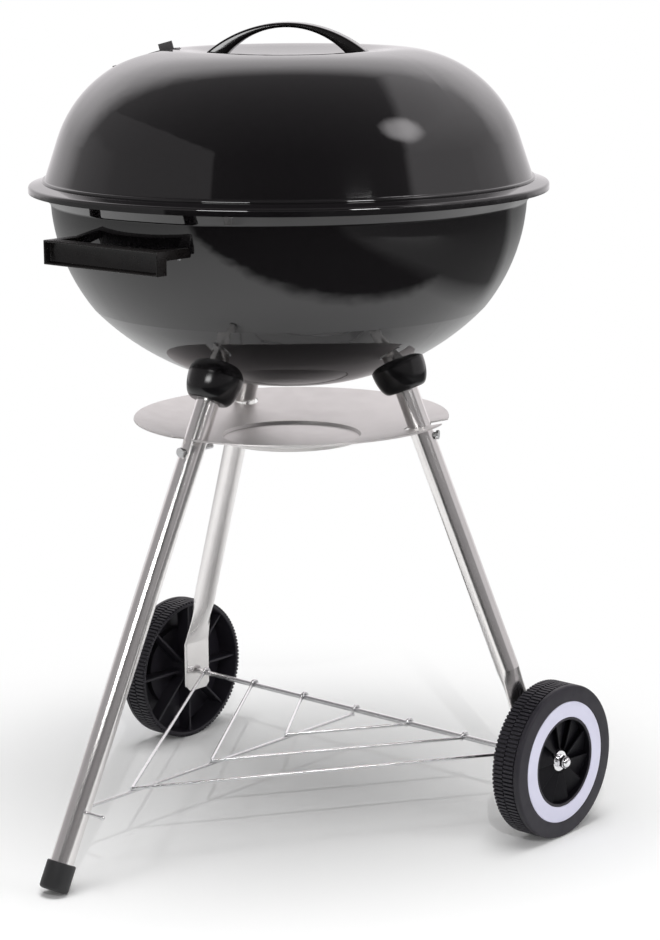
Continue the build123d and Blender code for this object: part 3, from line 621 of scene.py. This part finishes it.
@dataclass
class Kettle(Assembly):
    """Lid and bowl: enamelled shells with the bead on the lid's flange and the bowl's flared neck.

    Heights of the bead and the neck are from the rim.
    """

    bead_out: float = 230.3
    bead_up: float = 7.2
    bead_round: float = 1.9
    bead_depth: float = 1.2
    bead_wrap: float = 110.0
    bead_runs: int = 10
    neck_round: float = 3.5
    neck_slope: float = 42.0
    neck_start: float = 5.5
    neck_drop: float = 14.8
    neck_rise: float = 7.6
    neck_radius: float = 224.3
    neck_wall: float = 1.0
    neck_top: float = 1.5
    neck_runs: int = 6
    neck_lean: float = 1.6
    neck_lean_drop: float = 4.0
    neck_wall_drop: float = 10.5
    turns: int = 192

    def bead(self) -> None:
        """Turn the rounded bead where the lid's flank meets its flange."""
        inside, top = self.bead_out - self.bead_depth, self.bead_up + self.bead_round
        blank = Blank().start(inside, top).line((self.bead_out, top))
        blank.arc(self.bead_out, self.bead_up, self.bead_wrap, self.bead_runs)
        blank.line((inside, self.bead_up), (inside, top))
        blank.lathe(self.turns).move(self.layout.rim())
        self.hand_over(blank, "lid_flange_bead", Body.LID, "enamel", ENAMEL)

    def neck(self) -> None:
        """Turn the flare that leads from the bowl's side out under the flange."""
        start = radians(self.neck_start)
        centre_out = self.neck_radius + self.neck_round * cos(start)
        centre_along = -self.neck_drop - self.neck_round * sin(start)
        blank = Blank().start(self.neck_radius, -self.neck_drop)
        blank.arc(centre_out, centre_along, self.neck_slope - self.neck_start, self.neck_runs)
        foot = blank.tip.co.copy()
        out = foot.x + self.neck_rise * tan(radians(self.neck_slope))
        inside, top = self.neck_radius - self.neck_wall, -self.neck_top
        blank.line((out, foot.z + self.neck_rise), (out, top))
        blank.line((inside + self.neck_lean, top - self.neck_lean_drop), (inside, top - self.neck_wall_drop))
        blank.line((inside, -self.neck_drop), (self.neck_radius, -self.neck_drop))
        blank.lathe(self.turns).move(self.layout.rim())
        self.hand_over(blank, "bowl_neck_flare", Body.STAND, "enamel", ENAMEL)

    def build(self) -> None:
        """Dress the shells and what is fixed to them, and turn the bead and the neck."""
        self.carry(ENAMEL, "lid_shell", "bowl_shell")
        self.carry(DARK_SHEET, "lid_damper", "bowl_damper")
        self.carry(ZINC, "lid_vent_rivet", "bowl_vent_rivet", "lid_handle_screws", "side_handle_screws")
        self.carry(ZINC, "socket_bolts")
        self.bead()
        self.neck()


@dataclass
class LidHandle(Assembly):
    """The arch handle: a strap whose section is a crescent between two arcs."""

    rise: float = 151.0
    outer: float = 117.0
    inner: float = 76.0
    thickness: float = 4.4
    depth: float = 26.0
    outer_reach: float = 75.6
    inner_reach: float = 57.2
    runs: int = 40
    edge: float = 2.0
    edge_faces: int = 4
    edge_sharper: float = 50.0

    def arc(self, blank: Blank, radius: float, top: float, reach: float) -> list[bmesh.types.BMEdge]:
        """Draw one of the crescent's arcs from foot to foot.

        Args:
            blank: The blank to draw in.
            radius: The arc's radius.
            top: The height of its top over the rim.
            reach: Half the distance between its ends.

        Returns:
            Its edges.
        """
        before = set(blank.mesh.edges)
        half = asin(reach / radius)
        blank.start(-reach, top - radius + radius * cos(half))
        blank.arc(0.0, top - radius, degrees(2.0 * half), self.runs)
        return [edge for edge in blank.mesh.edges if edge not in before]

    def build(self) -> None:
        """Bridge the two arcs, give the strap its depth and round its edges."""
        blank = Blank()
        over = self.arc(blank, self.outer, self.rise, self.outer_reach)
        under = self.arc(blank, self.inner, self.rise - self.thickness, self.inner_reach)
        bmesh.ops.bridge_loops(blank.mesh, edges=over + under)
        slab = bmesh.ops.extrude_face_region(blank.mesh, geom=blank.mesh.faces[:])
        moved = [part for part in slab["geom"] if isinstance(part, bmesh.types.BMVert)]
        bmesh.ops.translate(blank.mesh, verts=moved, vec=(0.0, self.depth, 0.0))
        blank.tidy().soften(self.edge, self.edge_faces, self.edge_sharper)
        turn = Matrix.Rotation(radians(self.layout.lid_turn), 4, "Z")
        blank.move(self.layout.rim() @ turn @ Matrix.Translation((0.0, -self.depth / 2, 0.0)))
        self.hand_over(blank, "lid_handle_strap", Body.LID, "handle_plastic", HANDLE_GLOSS, "lid_handle")


@dataclass
class SideHandle(Assembly):
    """The side handle: a bar with a hollow face on two arms that meet the bowl."""

    length: float = 143.0
    height: float = 22.0
    reach: float = 250.0
    middle: float = 568.0
    bar: float = 12.0
    arm: float = 11.0
    arm_height: float = 9.0
    lip: float = 1.8
    recess: float = 7.0
    edge: float = 0.7
    edge_faces: int = 3
    edge_sharper: float = 40.0
    upper_from: float = 1.0
    bowl_low: float = 220.2
    bowl_high: float = 222.05

    def build(self) -> None:
        """Sink the face into a block, then draw the arms out of its back to the bowl."""
        centre = (0.0, self.bar / 2 - self.reach, self.middle)
        blank = Blank().block((self.length, self.bar, self.height), centre)
        mesh = blank.mesh
        arm_foot = self.middle + self.height / 2 - self.arm_height
        cuts = [((side.value * (self.length / 2 - self.arm), 0.0, 0.0), (1.0, 0.0, 0.0)) for side in Side]
        for spot, across in (*cuts, ((0.0, 0.0, arm_foot), UPWARD)):
            bmesh.ops.bisect_plane(mesh, geom=blank.parts, plane_co=spot, plane_no=across)
        front = [face for face in mesh.faces if face.normal.y < -FACING]
        bmesh.ops.dissolve_faces(mesh, faces=front, use_verts=False)
        front = [face for face in mesh.faces if face.normal.y < -FACING]
        for width, depth in ((self.lip, 0.0), (self.edge / 2, -self.recess)):
            bmesh.ops.inset_region(mesh, faces=front, thickness=width, depth=depth, use_even_offset=True)
        backs = []
        for face in mesh.faces:
            middle = face.calc_center_median()
            if face.normal.y > FACING and abs(middle.x) > self.length / 4 and middle.z > arm_foot:
                backs.append(face)
        grown = bmesh.ops.extrude_discrete_faces(mesh, faces=backs)
        for face in grown["faces"]:
            for vert in face.verts:
                reach = self.bowl_high if vert.co.z > arm_foot + self.upper_from else self.bowl_low
                vert.co.y = -sqrt(reach**2 - vert.co.x**2)
        blank.tidy().soften(self.edge, self.edge_faces, self.edge_sharper)
        blank.move(self.layout.kettle())
        self.hand_over(blank, "side_handle_grip", Body.STAND, "handle_plastic", BLACK_GRIP, "side_handle")


@dataclass
class Legs(Assembly):
    """The three legs with their sockets, the foot cap and the ash catcher's screws.

    The zone at a tube's end is in metres.
    """

    end_zone: float = 0.02
    foot_radius: float = 13.5
    foot_length: float = 26.0
    foot_wall: float = 2.4
    foot_round: float = 3.0
    foot_trim: float = 2.0
    lip_drop: float = 1.0
    lip_in: float = 0.8
    lead_drop: float = 0.6
    lead_in: float = 0.2
    turns: int = 48

    def lean(self, node: str) -> Vector:
        """Direction up a leg, from the middles of its lower and upper ends.

        Args:
            node: The leg's name.

        Returns:
            The direction.
        """
        verts = [v.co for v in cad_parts[node].data.vertices]
        high, low = max(v.z for v in verts), min(v.z for v in verts)
        near = [v for v in verts if v.z > high - self.end_zone]
        far = [v for v in verts if v.z < low + self.end_zone]
        return sum(near, Vector()) / len(near) - sum(far, Vector()) / len(far)

    def build(self) -> None:
        """Dress the tubes along their own directions, and the sockets and screws."""
        for leg in ("front", "right", "left"):
            node = f"{leg}_leg"
            chrome = Plated(
                f"chrome_{leg}", (0.82, 0.80, 0.79), (0.89, 0.87, 0.86), 0.15, 0.24,
                along=tuple(self.lean(node).normalized()), line=0.0011, line_length=0.12,
            )
            self.carry(chrome, node)
            self.carry(SOCKET_BLACK, f"{leg}_socket")
        self.carry(ZINC, "ash_catcher_screws")
        self.foot()

    def foot(self) -> None:
        """Turn the foot cap about the front leg's line and trim it flat on the ground."""
        up = self.lean("front_leg").normalized()
        low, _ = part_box("front_leg")
        verts = [v.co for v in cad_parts["front_leg"].data.vertices]
        near = [v for v in verts if v.z < low[2] + self.end_zone]
        spot = sum(near, Vector()) / len(near) / MM
        base = self.foot_radius * sqrt(1.0 - up.z**2) - self.foot_trim
        foot = spot + up * ((base - spot.z) / up.z)
        out, bore, top = self.foot_radius, self.foot_radius - self.foot_wall, self.foot_length
        blank = Blank().start(0.0, 0.0).line((out - self.foot_round, 0.0))
        blank.arc(out - self.foot_round, self.foot_round, CORNER)
        blank.line((out, top - self.lip_drop), (out - self.lip_in, top), (bore + self.lead_in, top))
        blank.line((bore, top - self.lead_drop), (bore, self.foot_wall), (0.0, self.foot_wall))
        blank.lathe(self.turns)
        blank.move(Matrix.Translation(foot) @ up.to_track_quat("Z", "Y").to_matrix().to_4x4())
        cut = bmesh.ops.bisect_plane(
            blank.mesh, geom=blank.parts, plane_co=ORIGIN, plane_no=(0.0, 0.0, -1.0), clear_outer=True,
        )
        rim = [part for part in cut["geom_cut"] if isinstance(part, bmesh.types.BMEdge)]
        bmesh.ops.holes_fill(blank.mesh, edges=rim, sides=0)
        blank.tidy()
        self.hand_over(blank, "front_foot", Body.STAND, "foot_rubber", RUBBER, "foot_cap")


@dataclass
class AshCatcher(Assembly):
    """The shallow pan below the bowl."""

    def build(self) -> None:
        """Dress the pan in spun sheet, ringed about the kettle's axis."""
        sheet = Spun(
            "satin_pan", (0.72, 0.70, 0.69), (0.745, 0.725, 0.715), 0.48, 0.52,
            centre=(0.0, self.layout.kettle_y * MM, 0.0),
        )
        self.carry(sheet, "ash_catcher")


@dataclass
class Wheel(Assembly):
    """One wheel: tyre, face, finned recess and ribbed back, with its pale trim ring.

    Distances along the axle are from the inner face of the tread.
    """

    side: Side
    inner_face: float = 230.0
    radius: float = 74.0
    width: float = 31.0
    groove: float = 2.0
    tread_wall: float = 5.0
    shoulder: float = 2.6
    shoulder_band: float = 5.6
    shoulder_runs: int = 6
    band_lead: float = 0.5
    chamfer: float = 0.8
    rib_rows: int = 2
    ribs: int = 112
    rib_width: float = 2.7
    rib_gap: float = 0.7
    rib_edge: float = 0.3
    rib_sink: float = 0.8
    web: float = 3.0
    bore: float = 2.65
    hub: float = 12.0
    hub_start: float = -6.7
    boss_rise: float = 1.5
    boss_break: float = 0.6
    recess_depth: float = 9.0
    recess_radius: float = 40.8
    recess_break: float = 0.7
    floor_break: float = 1.0
    dish: float = 1.0
    ring_outer: float = 58.5
    ring_inner: float = 43.4
    ring_thickness: float = 2.0
    ring_edge: float = 0.6
    ring_runs: int = 3
    seat_gap: float = 0.1
    seat_outer_break: float = 0.6
    seat_inner_break: float = 0.5
    fins: int = 10
    fin_sweep: float = 33.0
    fin_rise: float = 5.2
    fin_thickness: float = 1.3
    fin_steps: int = 6
    fin_sink: float = 0.5
    fin_lift: float = 0.4
    fin_edge: float = 0.3
    fin_sharper: float = 50.0
    back_ribs: int = 8
    back_rib: float = 2.5
    back_start: float = 4.0
    back_overlap: float = 1.0
    back_edge: float = 0.5
    turns: int = 96

    def core(self) -> Blank:
        """Turn the wheel's section: hub, web, tread wall, shoulder, ring seat and recess.

        Returns:
            The turned wheel.
        """
        face, seat = self.width, self.width - self.ring_thickness
        floor, back = self.width - self.recess_depth, seat - self.web
        tread, inside = self.radius - self.groove, self.radius - self.tread_wall
        band, crown = self.width - self.shoulder_band, self.radius - self.shoulder
        outer, inner = self.ring_outer + self.seat_gap, self.ring_inner - self.seat_gap
        recess, bevel, cut = self.recess_radius, self.recess_break, self.chamfer
        wall, rim = recess + self.web, recess + self.dish
        lead, step = self.seat_outer_break, self.seat_inner_break
        blank = Blank().start(self.bore, self.hub_start)
        blank.line((self.hub - cut, self.hub_start), (self.hub, self.hub_start + cut))
        blank.line((self.hub, floor - self.web), (wall, floor - self.web), (wall, back))
        blank.line((inside, back), (inside, cut), (inside + cut, 0.0), (tread - cut, 0.0), (tread, cut))
        blank.line((tread, band - self.band_lead), (self.radius, band), (self.radius, face - self.shoulder))
        blank.arc(crown, face - self.shoulder, CORNER, self.shoulder_runs)
        blank.line((outer + lead, face), (outer, face - lead), (outer, seat), (inner, seat))
        blank.line((inner, face - step), (inner - step, face), (recess + bevel, face))
        blank.line((recess, face - bevel), (recess, face - self.dish), (rim, face - self.dish))
        blank.line((rim, floor - self.dish), (self.bore, floor - self.dish), (self.bore, self.hub_start))
        return blank.lathe(self.turns)

    def centre(self) -> Blank:
        """Turn the dish in the recess, with the boss about the axle, and set the fan's fins in it.

        Returns:
            The dish with its fins.
        """
        lip, floor = self.width - self.dish, self.width - self.recess_depth
        boss, under, rim = floor + self.boss_rise, floor - self.dish, self.recess_radius + self.dish
        blank = Blank().start(self.recess_radius, lip).line((self.recess_radius, floor + self.floor_break))
        blank.line((self.recess_radius - self.floor_break, floor), (self.hub, floor))
        blank.line((self.hub, boss - self.boss_break), (self.hub - self.boss_break, boss), (self.bore, boss))
        blank.line((self.bore, under), (rim, under), (rim, lip), (self.recess_radius, lip))
        return blank.lathe(self.turns).absorb(self.fan())

    def tread(self) -> Blank:
        """Staggered rows of bars across the tread.

        Returns:
            All the bars.
        """
        gaps = (self.rib_rows + 1) * self.rib_gap
        run = (self.width - self.shoulder_band - self.band_lead - gaps) / self.rib_rows
        size = (self.groove + self.rib_sink, self.rib_width, run)
        out = self.radius - self.groove / 2 - self.rib_sink / 2
        whole = Blank()
        for row in range(self.rib_rows):
            middle = self.rib_gap + run / 2 + row * (run + self.rib_gap)
            bar = Blank().block(size, (out, 0.0, middle)).soften(self.rib_edge, 1).repeat(self.ribs)
            whole.absorb(bar.move(Matrix.Rotation(row * pi / self.ribs, 4, "Z")))
        return whole

    def fan(self) -> Blank:
        """Slanted fins between the hub and the wall of the recess.

        Returns:
            All the fins.
        """
        base = self.width - self.recess_depth + self.fin_lift
        blank = Blank().start(self.hub - self.fin_sink, base)
        blank.line((self.recess_radius + self.fin_sink, base))
        blank.spin(radians(self.fin_sweep), self.fin_steps, rise=self.fin_rise / self.fin_steps)
        bmesh.ops.recalc_face_normals(blank.mesh, faces=blank.mesh.faces)
        bmesh.ops.solidify(blank.mesh, geom=blank.mesh.faces[:], thickness=self.fin_thickness)
        return blank.tidy().soften(self.fin_edge, 1, self.fin_sharper).repeat(self.fins)

    def stiffeners(self) -> Blank:
        """Radial ribs behind the face.

        Returns:
            All the ribs.
        """
        floor, inside = self.width - self.recess_depth - self.web, self.radius - self.tread_wall
        start, lap = self.back_start, self.back_overlap
        size = (inside - self.hub + lap, self.back_rib, floor - start + lap)
        middle = ((inside + self.hub) / 2, 0.0, (floor + start + lap) / 2)
        return Blank().block(size, middle).soften(self.back_edge, 1).repeat(self.back_ribs)

    def trim(self) -> Blank:
        """Turn the trim ring with rounded outer edges.

        Returns:
            The ring.
        """
        seat, face, edge = self.width - self.ring_thickness, self.width, self.ring_edge
        ring = Blank().start(self.ring_inner, seat)
        ring.line((self.ring_outer, seat), (self.ring_outer, face - edge))
        ring.arc(self.ring_outer - edge, face - edge, CORNER, self.ring_runs)
        ring.line((self.ring_inner + edge, face))
        ring.arc(self.ring_inner + edge, face - edge, CORNER, self.ring_runs)
        return ring.line((self.ring_inner, seat)).lathe(self.turns)

    def build(self) -> None:
        """Put the wheel together on its axle, and its trim ring in the seat."""
        place = self.layout.axle(self.side) @ Matrix.Translation((0.0, 0.0, self.inner_face))
        label, body = self.side.label, Body[f"{self.side.name}_WHEEL"]
        whole = self.core().absorb(self.tread()).absorb(self.stiffeners()).move(place)
        self.hand_over(whole, f"{label}_wheel_moulding", body, "wheel_plastic", TYRE, f"{label}_wheel")
        middle = self.centre().move(place)
        # The recess and its fins take the darker finish, which paints the recess's shade.
        self.hand_over(middle, f"{label}_wheel_centre", body, "wheel_plastic", FAN_PAINTED_SHADE)
        ring = self.trim().move(place)
        self.hand_over(ring, f"{label}_trim", body, "ring_plastic", TRIM, f"{label}_wheel_ring")


@dataclass
class Axle(Assembly):
    """The axle with its washers and cap nuts."""

    washer_radius: float = 10.0
    washer: float = 1.5
    washer_bore: float = 2.7
    washer_edge: float = 0.3
    nut_seat: float = 255.3
    nut_radius: float = 6.5
    nut_length: float = 10.0
    nut_edge: float = 0.5
    nut_sides: int = 6
    collar: float = 1.4
    flats: float = 5.2
    flat_sink: float = 0.2
    cap_radius: float = 5.2
    cap_round: float = 3.4
    cap_runs: int = 5
    turns: int = 40

    def nut(self) -> Blank:
        """A cap nut: six flats on a collar, under a rounded cap.

        Returns:
            The nut, standing on its collar.
        """
        blank = Blank()
        middle = self.collar + self.flats / 2 - self.flat_sink
        bmesh.ops.create_cone(
            blank.mesh, cap_ends=True, segments=self.nut_sides, radius1=self.nut_radius,
            radius2=self.nut_radius, depth=self.flats, matrix=Matrix.Translation((0.0, 0.0, middle)),
        )
        blank.soften(self.nut_edge)
        shoulder = self.nut_length - self.cap_round
        cap = Blank().start(0.0, 0.0).line((self.nut_radius, 0.0), (self.nut_radius, self.collar))
        cap.line((self.cap_radius, self.collar), (self.cap_radius, shoulder))
        cap.arc(self.cap_radius - self.cap_round, shoulder, CORNER, self.cap_runs)
        return blank.absorb(cap.line((0.0, self.nut_length)).lathe(self.turns))

    def ring(self, start: float) -> Blank:
        """A washer with broken edges.

        Args:
            start: Where its inner face is along the axle.

        Returns:
            The washer.
        """
        edge, out, end = self.washer_edge, self.washer_radius, start + self.washer
        blank = Blank().start(self.washer_bore, start).line((out - edge, start), (out, start + edge))
        blank.line((out, end - edge), (out - edge, end), (self.washer_bore, end), (self.washer_bore, start))
        return blank.lathe(self.turns)

    def build(self) -> None:
        """Put a washer and a nut on each end, and dress the rod and the inner washers."""
        nuts, washers = Blank(), Blank()
        for side in Side:
            place = self.layout.axle(side)
            nuts.absorb(self.nut().move(place @ Matrix.Translation((0.0, 0.0, self.nut_seat))))
            washers.absorb(self.ring(self.nut_seat - self.washer).move(place))
        self.hand_over(nuts, "cap_nuts", Body.STAND, "fastener_steel", BRIGHT, "axle_nuts")
        self.hand_over(washers, "face_washers", Body.STAND, "fastener_steel", BRIGHT, "outer_washers")
        self.carry(ZINC, "axle", "inner_washers")


@dataclass
class Rack(Assembly):
    """The wire rack between the legs."""

    pairs: int = 3

    def build(self) -> None:
        """Dress the wires."""
        arms = [f"rack_arm_{side.label}_{number}" for number in range(1, self.pairs + 1) for side in Side]
        self.carry(WIRE, "rack_spine", "rack_stop", *arms)


@dataclass
class Grates(Assembly):
    """The grates and their brackets inside the kettle."""

    def build(self) -> None:
        """Dress the wires and brackets."""
        for grate in ("cooking_grate", "charcoal_grate"):
            self.carry(GRATE, f"{grate}_ring", f"{grate}_bars")
        self.carry(GRATE, "grate_brackets")


@dataclass(frozen=True)
class Lamp:
    """A soft lamp that faces the kettle, and either lights things or only shows mirrored in gloss."""

    name: str
    bearing: float
    reach: float
    height: float
    width: float
    depth: float
    radiance: float
    mirrored: bool = False

    def hang(self, spot: Vector, aim: Vector) -> None:
        """Hang the lamp.

        Args:
            spot: Where it hangs.
            aim: What it faces.
        """
        data = bpy.data.lights.new(self.name, "AREA")
        data.shape = "RECTANGLE"
        data.size, data.size_y = self.width, self.depth
        data.energy = self.radiance * pi * self.width * self.depth
        lamp = bpy.data.objects.new(self.name, data)
        facing = (spot - aim).to_track_quat("Z", "Y").to_matrix().to_4x4()
        lamp.matrix_world = Matrix.Translation(spot) @ facing
        lamp.visible_camera = False
        lamp.visible_diffuse = not self.mirrored
        lamp.visible_glossy = self.mirrored
        bpy.context.scene.collection.objects.link(lamp)


def level_way(bearing: float, hand: float) -> Triple:
    """Return the level way a bearing in degrees behind the camera's right, hand 1, or its left, hand -1."""
    return -sin(radians(bearing)), hand * cos(radians(bearing)), 0.0


@dataclass(frozen=True)
class Shade:
    """A change of level across the room that gloss mirrors.

    The way that it changes along has parts towards the camera, to the camera's right and up.
    """

    way: Triple
    edge: Span
    level: Span = RISE
    smooth: bool = False


@dataclass
class Studio:
    """White sweep, soft lamps, the room that gloss mirrors and the photograph's viewpoint.

    Bearings are in degrees to the right of the camera's side, seen from the kettle.
    """

    layout: Layout
    bearing: float = 42.0
    distance: float = 2.475
    eye_height: float = 0.860
    yaw: float = 0.85
    pitch: float = 11.93
    roll: float = -0.4
    focal: float = 2620.0
    picture_height: float = 940.0
    sensor: float = 36.0
    floor_radius: float = 6.0
    floor_turns: int = 96
    floor_tone: float = 0.96
    fill: float = 0.28
    lift: float = 0.04
    white_out: Span = (0.34, 0.66)
    edge_noise: float = 9.0
    edge_ragged: float = 0.12
    edge_skew: float = 0.6
    edge_start: float = 0.60
    edge_fade: float = 0.16
    dark_front: float = 0.04
    dark_side: float = 0.20
    front_span: Span = (0.78, 1.0)
    side_span: Span = (0.70, 0.95)
    side_front: Span = (-0.75, -0.2)
    dim: Shade = Shade(TOWARD, (-0.7, 0.95), (0.30, 0.035))
    low: Shade = Shade(UPWARD, (0.30, 0.45), (0.20, 0.0))
    panel: Shade = Shade(level_way(28.0, 1.0), (0.45, 0.55), smooth=True)
    panel_rise: Shade = Shade(UPWARD, (0.30, 0.60), (0.62, 0.95))
    wing: Shade = Shade(level_way(38.0, -1.0), (0.0, 0.03), (0.0, 0.35))
    wing_under: Shade = Shade((0.092, -0.664, -0.742), (0.0, 0.03))
    glow: Shade = Shade((0.221, 0.702, 0.677), (0.980, 0.999), (0.0, 3.0), smooth=True)
    sweep: Shade = Shade(TOWARD, (-0.35, -0.75), smooth=True)
    sweep_rise: Shade = Shade(UPWARD, (0.10, 0.40), (1.0, 1.45), smooth=True)
    mirror_tint: Colour = (1.0, 0.965, 0.985)
    lamps: tuple[Lamp, ...] = (
        Lamp("overhead", -20.0, 0.20, 2.6, 1.7, 1.7, 6.2),
        Lamp("key", 2.4, 2.6, 1.9, 0.03, 0.03, 5500.0),
        Lamp("side_fill", 58.0, 1.9, 0.4, 1.0, 0.7, 4.4),
        Lamp("left_softbox", -26.0, 1.2, 0.82, 0.42, 0.20, 12.0, mirrored=True),
        Lamp("right_softbox", 30.0, 1.1, 1.0, 0.22, 0.20, 24.0, mirrored=True),
    )

    def axes(self) -> tuple[Vector, Vector, Vector]:
        """Level directions towards the camera and to its right, and up."""
        turn = radians(self.bearing)
        return Vector((sin(turn), -cos(turn), 0.0)), Vector((cos(turn), sin(turn), 0.0)), Vector(UPWARD)

    def way(self, toward: float, aside: float, rise: float = 0.0) -> Vector:
        """The direction with parts towards the camera, to its right and up."""
        near, right, up = self.axes()
        return near * toward + right * aside + up * rise

    def axis(self) -> Vector:
        """The point on the ground under the kettle."""
        return Vector((0.0, self.layout.kettle_y * MM, 0.0))

    def camera(self) -> None:
        """Set up the camera at the photograph's viewpoint."""
        near, right, up = self.axes()
        turn = Matrix((right, up, near)).transposed().to_4x4()
        for angle, axis in ((-self.yaw, "Y"), (-self.pitch, "X"), (self.roll, "Z")):
            turn = turn @ Matrix.Rotation(radians(angle), 4, axis)
        eye = self.axis() + near * self.distance + up * self.eye_height
        data = bpy.data.cameras.new("photo_camera")
        data.sensor_width = self.sensor
        data.lens = self.focal / self.picture_height * self.sensor
        camera = bpy.data.objects.new("photo_camera", data)
        camera.matrix_world = Matrix.Translation(eye) @ turn
        bpy.context.scene.collection.objects.link(camera)
        bpy.context.scene.camera = camera

    def floor(self) -> None:
        """Lay a pale floor that keeps shadows near the object and runs out to white.

        In gloss it ends in a ragged dark edge on the camera's side, where the sweep's paper stops.
        """
        blank, radius = Blank(), self.floor_radius / MM
        bmesh.ops.create_circle(blank.mesh, cap_ends=True, segments=self.floor_turns, radius=radius)
        floor = blank.finish("floor")
        material = bpy.data.materials.new("pale_floor")
        material.use_nodes = True
        tree = Tree(material.node_tree)
        place = tree.add("ShaderNodeTexCoord").outputs["Object"]
        path = tree.add("ShaderNodeLightPath").outputs
        length = tree.add("ShaderNodeVectorMath", place, operation="LENGTH").outputs["Value"]
        far = tree.spread(length, self.white_out, RISE, smooth=True)
        away = tree.reckon("MULTIPLY", far, path["Is Camera Ray"])
        dark = tree.reckon("MULTIPLY", self.paper_edge(tree, place), path["Is Glossy Ray"])
        tone = tree.reckon("SUBTRACT", self.floor_tone, dark)
        pale = tree.add("ShaderNodeBsdfDiffuse", tone).outputs["BSDF"]
        lift = tree.reckon("MULTIPLY", path["Is Camera Ray"], self.lift)
        bright = tree.add("ShaderNodeEmission", WHITE, lift).outputs["Emission"]
        white = tree.add("ShaderNodeEmission", WHITE).outputs["Emission"]
        lit = tree.add("ShaderNodeAddShader", pale, bright).outputs["Shader"]
        shown = tree.add("ShaderNodeMixShader", away, lit, white).outputs["Shader"]
        tree.add("ShaderNodeOutputMaterial", shown)
        floor.data.materials.append(material)

    def paper_edge(self, tree: Tree, place: Socket) -> Socket:
        """How much darker gloss shows the floor past the sweep's ragged edge.

        Args:
            tree: The floor's tree.
            place: The socket of the place on the floor.

        Returns:
            The socket of what is taken off the floor's tone.
        """
        ragged = tree.fill(tree.add("ShaderNodeTexNoise", place), Scale=self.edge_noise)
        offset = tree.reckon("MULTIPLY", ragged.outputs["Fac"], self.edge_ragged)
        skew = self.way(1.0, self.edge_skew)
        front = tree.reckon("ADD", tree.along(place, skew), offset)
        start = skew.dot(self.axis()) + self.edge_start
        across = tree.along(place, self.way(0.0, 1.0))
        deep, shallow = self.floor_tone - self.dark_front, self.floor_tone - self.dark_side
        depth = tree.spread(across, self.front_span, (deep, shallow))
        ahead = tree.reckon("MULTIPLY", tree.spread(front, (start, start + self.edge_fade), RISE), depth)
        outward = tree.spread(across, self.side_span, (0.0, shallow))
        beside = tree.reckon("MULTIPLY", outward, tree.spread(front, self.side_front, RISE))
        return tree.reckon("MAXIMUM", ahead, beside)

    def room_light(self, tree: Tree) -> Socket:
        """What gloss shows: a dim room in front, a panel on each hand and a bright sweep above and behind.

        Args:
            tree: The world's tree.

        Returns:
            The level's socket.
        """
        ray = tree.add("ShaderNodeTexCoord").outputs["Generated"]

        def level(shade: Shade) -> Socket:
            """Return the socket of a shade's level."""
            return tree.spread(tree.along(ray, self.way(*shade.way)), shade.edge, shade.level, shade.smooth)

        front = tree.reckon("ADD", level(self.dim), level(self.low))
        panel = tree.reckon("MULTIPLY", level(self.panel), level(self.panel_rise))
        wing = tree.reckon("MULTIPLY", level(self.wing), level(self.wing_under))
        behind = tree.reckon("MULTIPLY", level(self.sweep), level(self.sweep_rise))
        sides = tree.reckon("MAXIMUM", panel, wing)
        room = tree.reckon("MAXIMUM", tree.reckon("MAXIMUM", front, sides), behind)
        return tree.reckon("ADD", room, level(self.glow))

    def surroundings(self) -> None:
        """White for the camera, a plain fill for the light and the room for gloss."""
        world = bpy.data.worlds.new("studio")
        bpy.context.scene.world = world
        world.use_nodes = True
        tree = Tree(world.node_tree)
        path = tree.add("ShaderNodeLightPath").outputs
        mirrored = tree.reckon("MAXIMUM", path["Is Glossy Ray"], path["Is Transmission Ray"])
        extra = tree.reckon("SUBTRACT", self.room_light(tree), self.fill)
        level = tree.reckon("ADD", tree.reckon("MULTIPLY", mirrored, extra), self.fill)
        tone = tree.add("ShaderNodeValToRGB", mirrored)
        tone.color_ramp.elements[0].color = WHITE
        tone.color_ramp.elements[1].color = (*self.mirror_tint, 1.0)
        strength = tree.reckon("MAXIMUM", level, path["Is Camera Ray"])
        background = tree.add("ShaderNodeBackground", tone.outputs["Color"], strength)
        tree.add("ShaderNodeOutputWorld", background.outputs["Background"])

    def build(self) -> None:
        """Set the stage, the light and the camera."""
        bpy.context.scene.view_settings.view_transform = "Standard"
        self.floor()
        self.surroundings()
        for lamp in self.lamps:
            turn = radians(lamp.bearing)
            spot = self.axis() + self.way(cos(turn) * lamp.reach, sin(turn) * lamp.reach, lamp.height)
            lamp.hang(spot, self.axis() + self.way(0.0, 0.0, self.layout.rim_height * MM))
        self.camera()


def main() -> None:
    """Build the grill's sub-assemblies in order, then the studio."""
    logging.basicConfig(level=logging.INFO, format="%(message)s")
    layout = Layout()
    wheels = [Wheel(layout, side) for side in Side]
    kettle = (Kettle(layout), LidHandle(layout), SideHandle(layout), Legs(layout), AshCatcher(layout))
    for assembly in (*kettle, *wheels, Axle(layout), Rack(layout), Grates(layout), Studio(layout)):
        assembly.build()


if __name__ == "__main__":
    main()
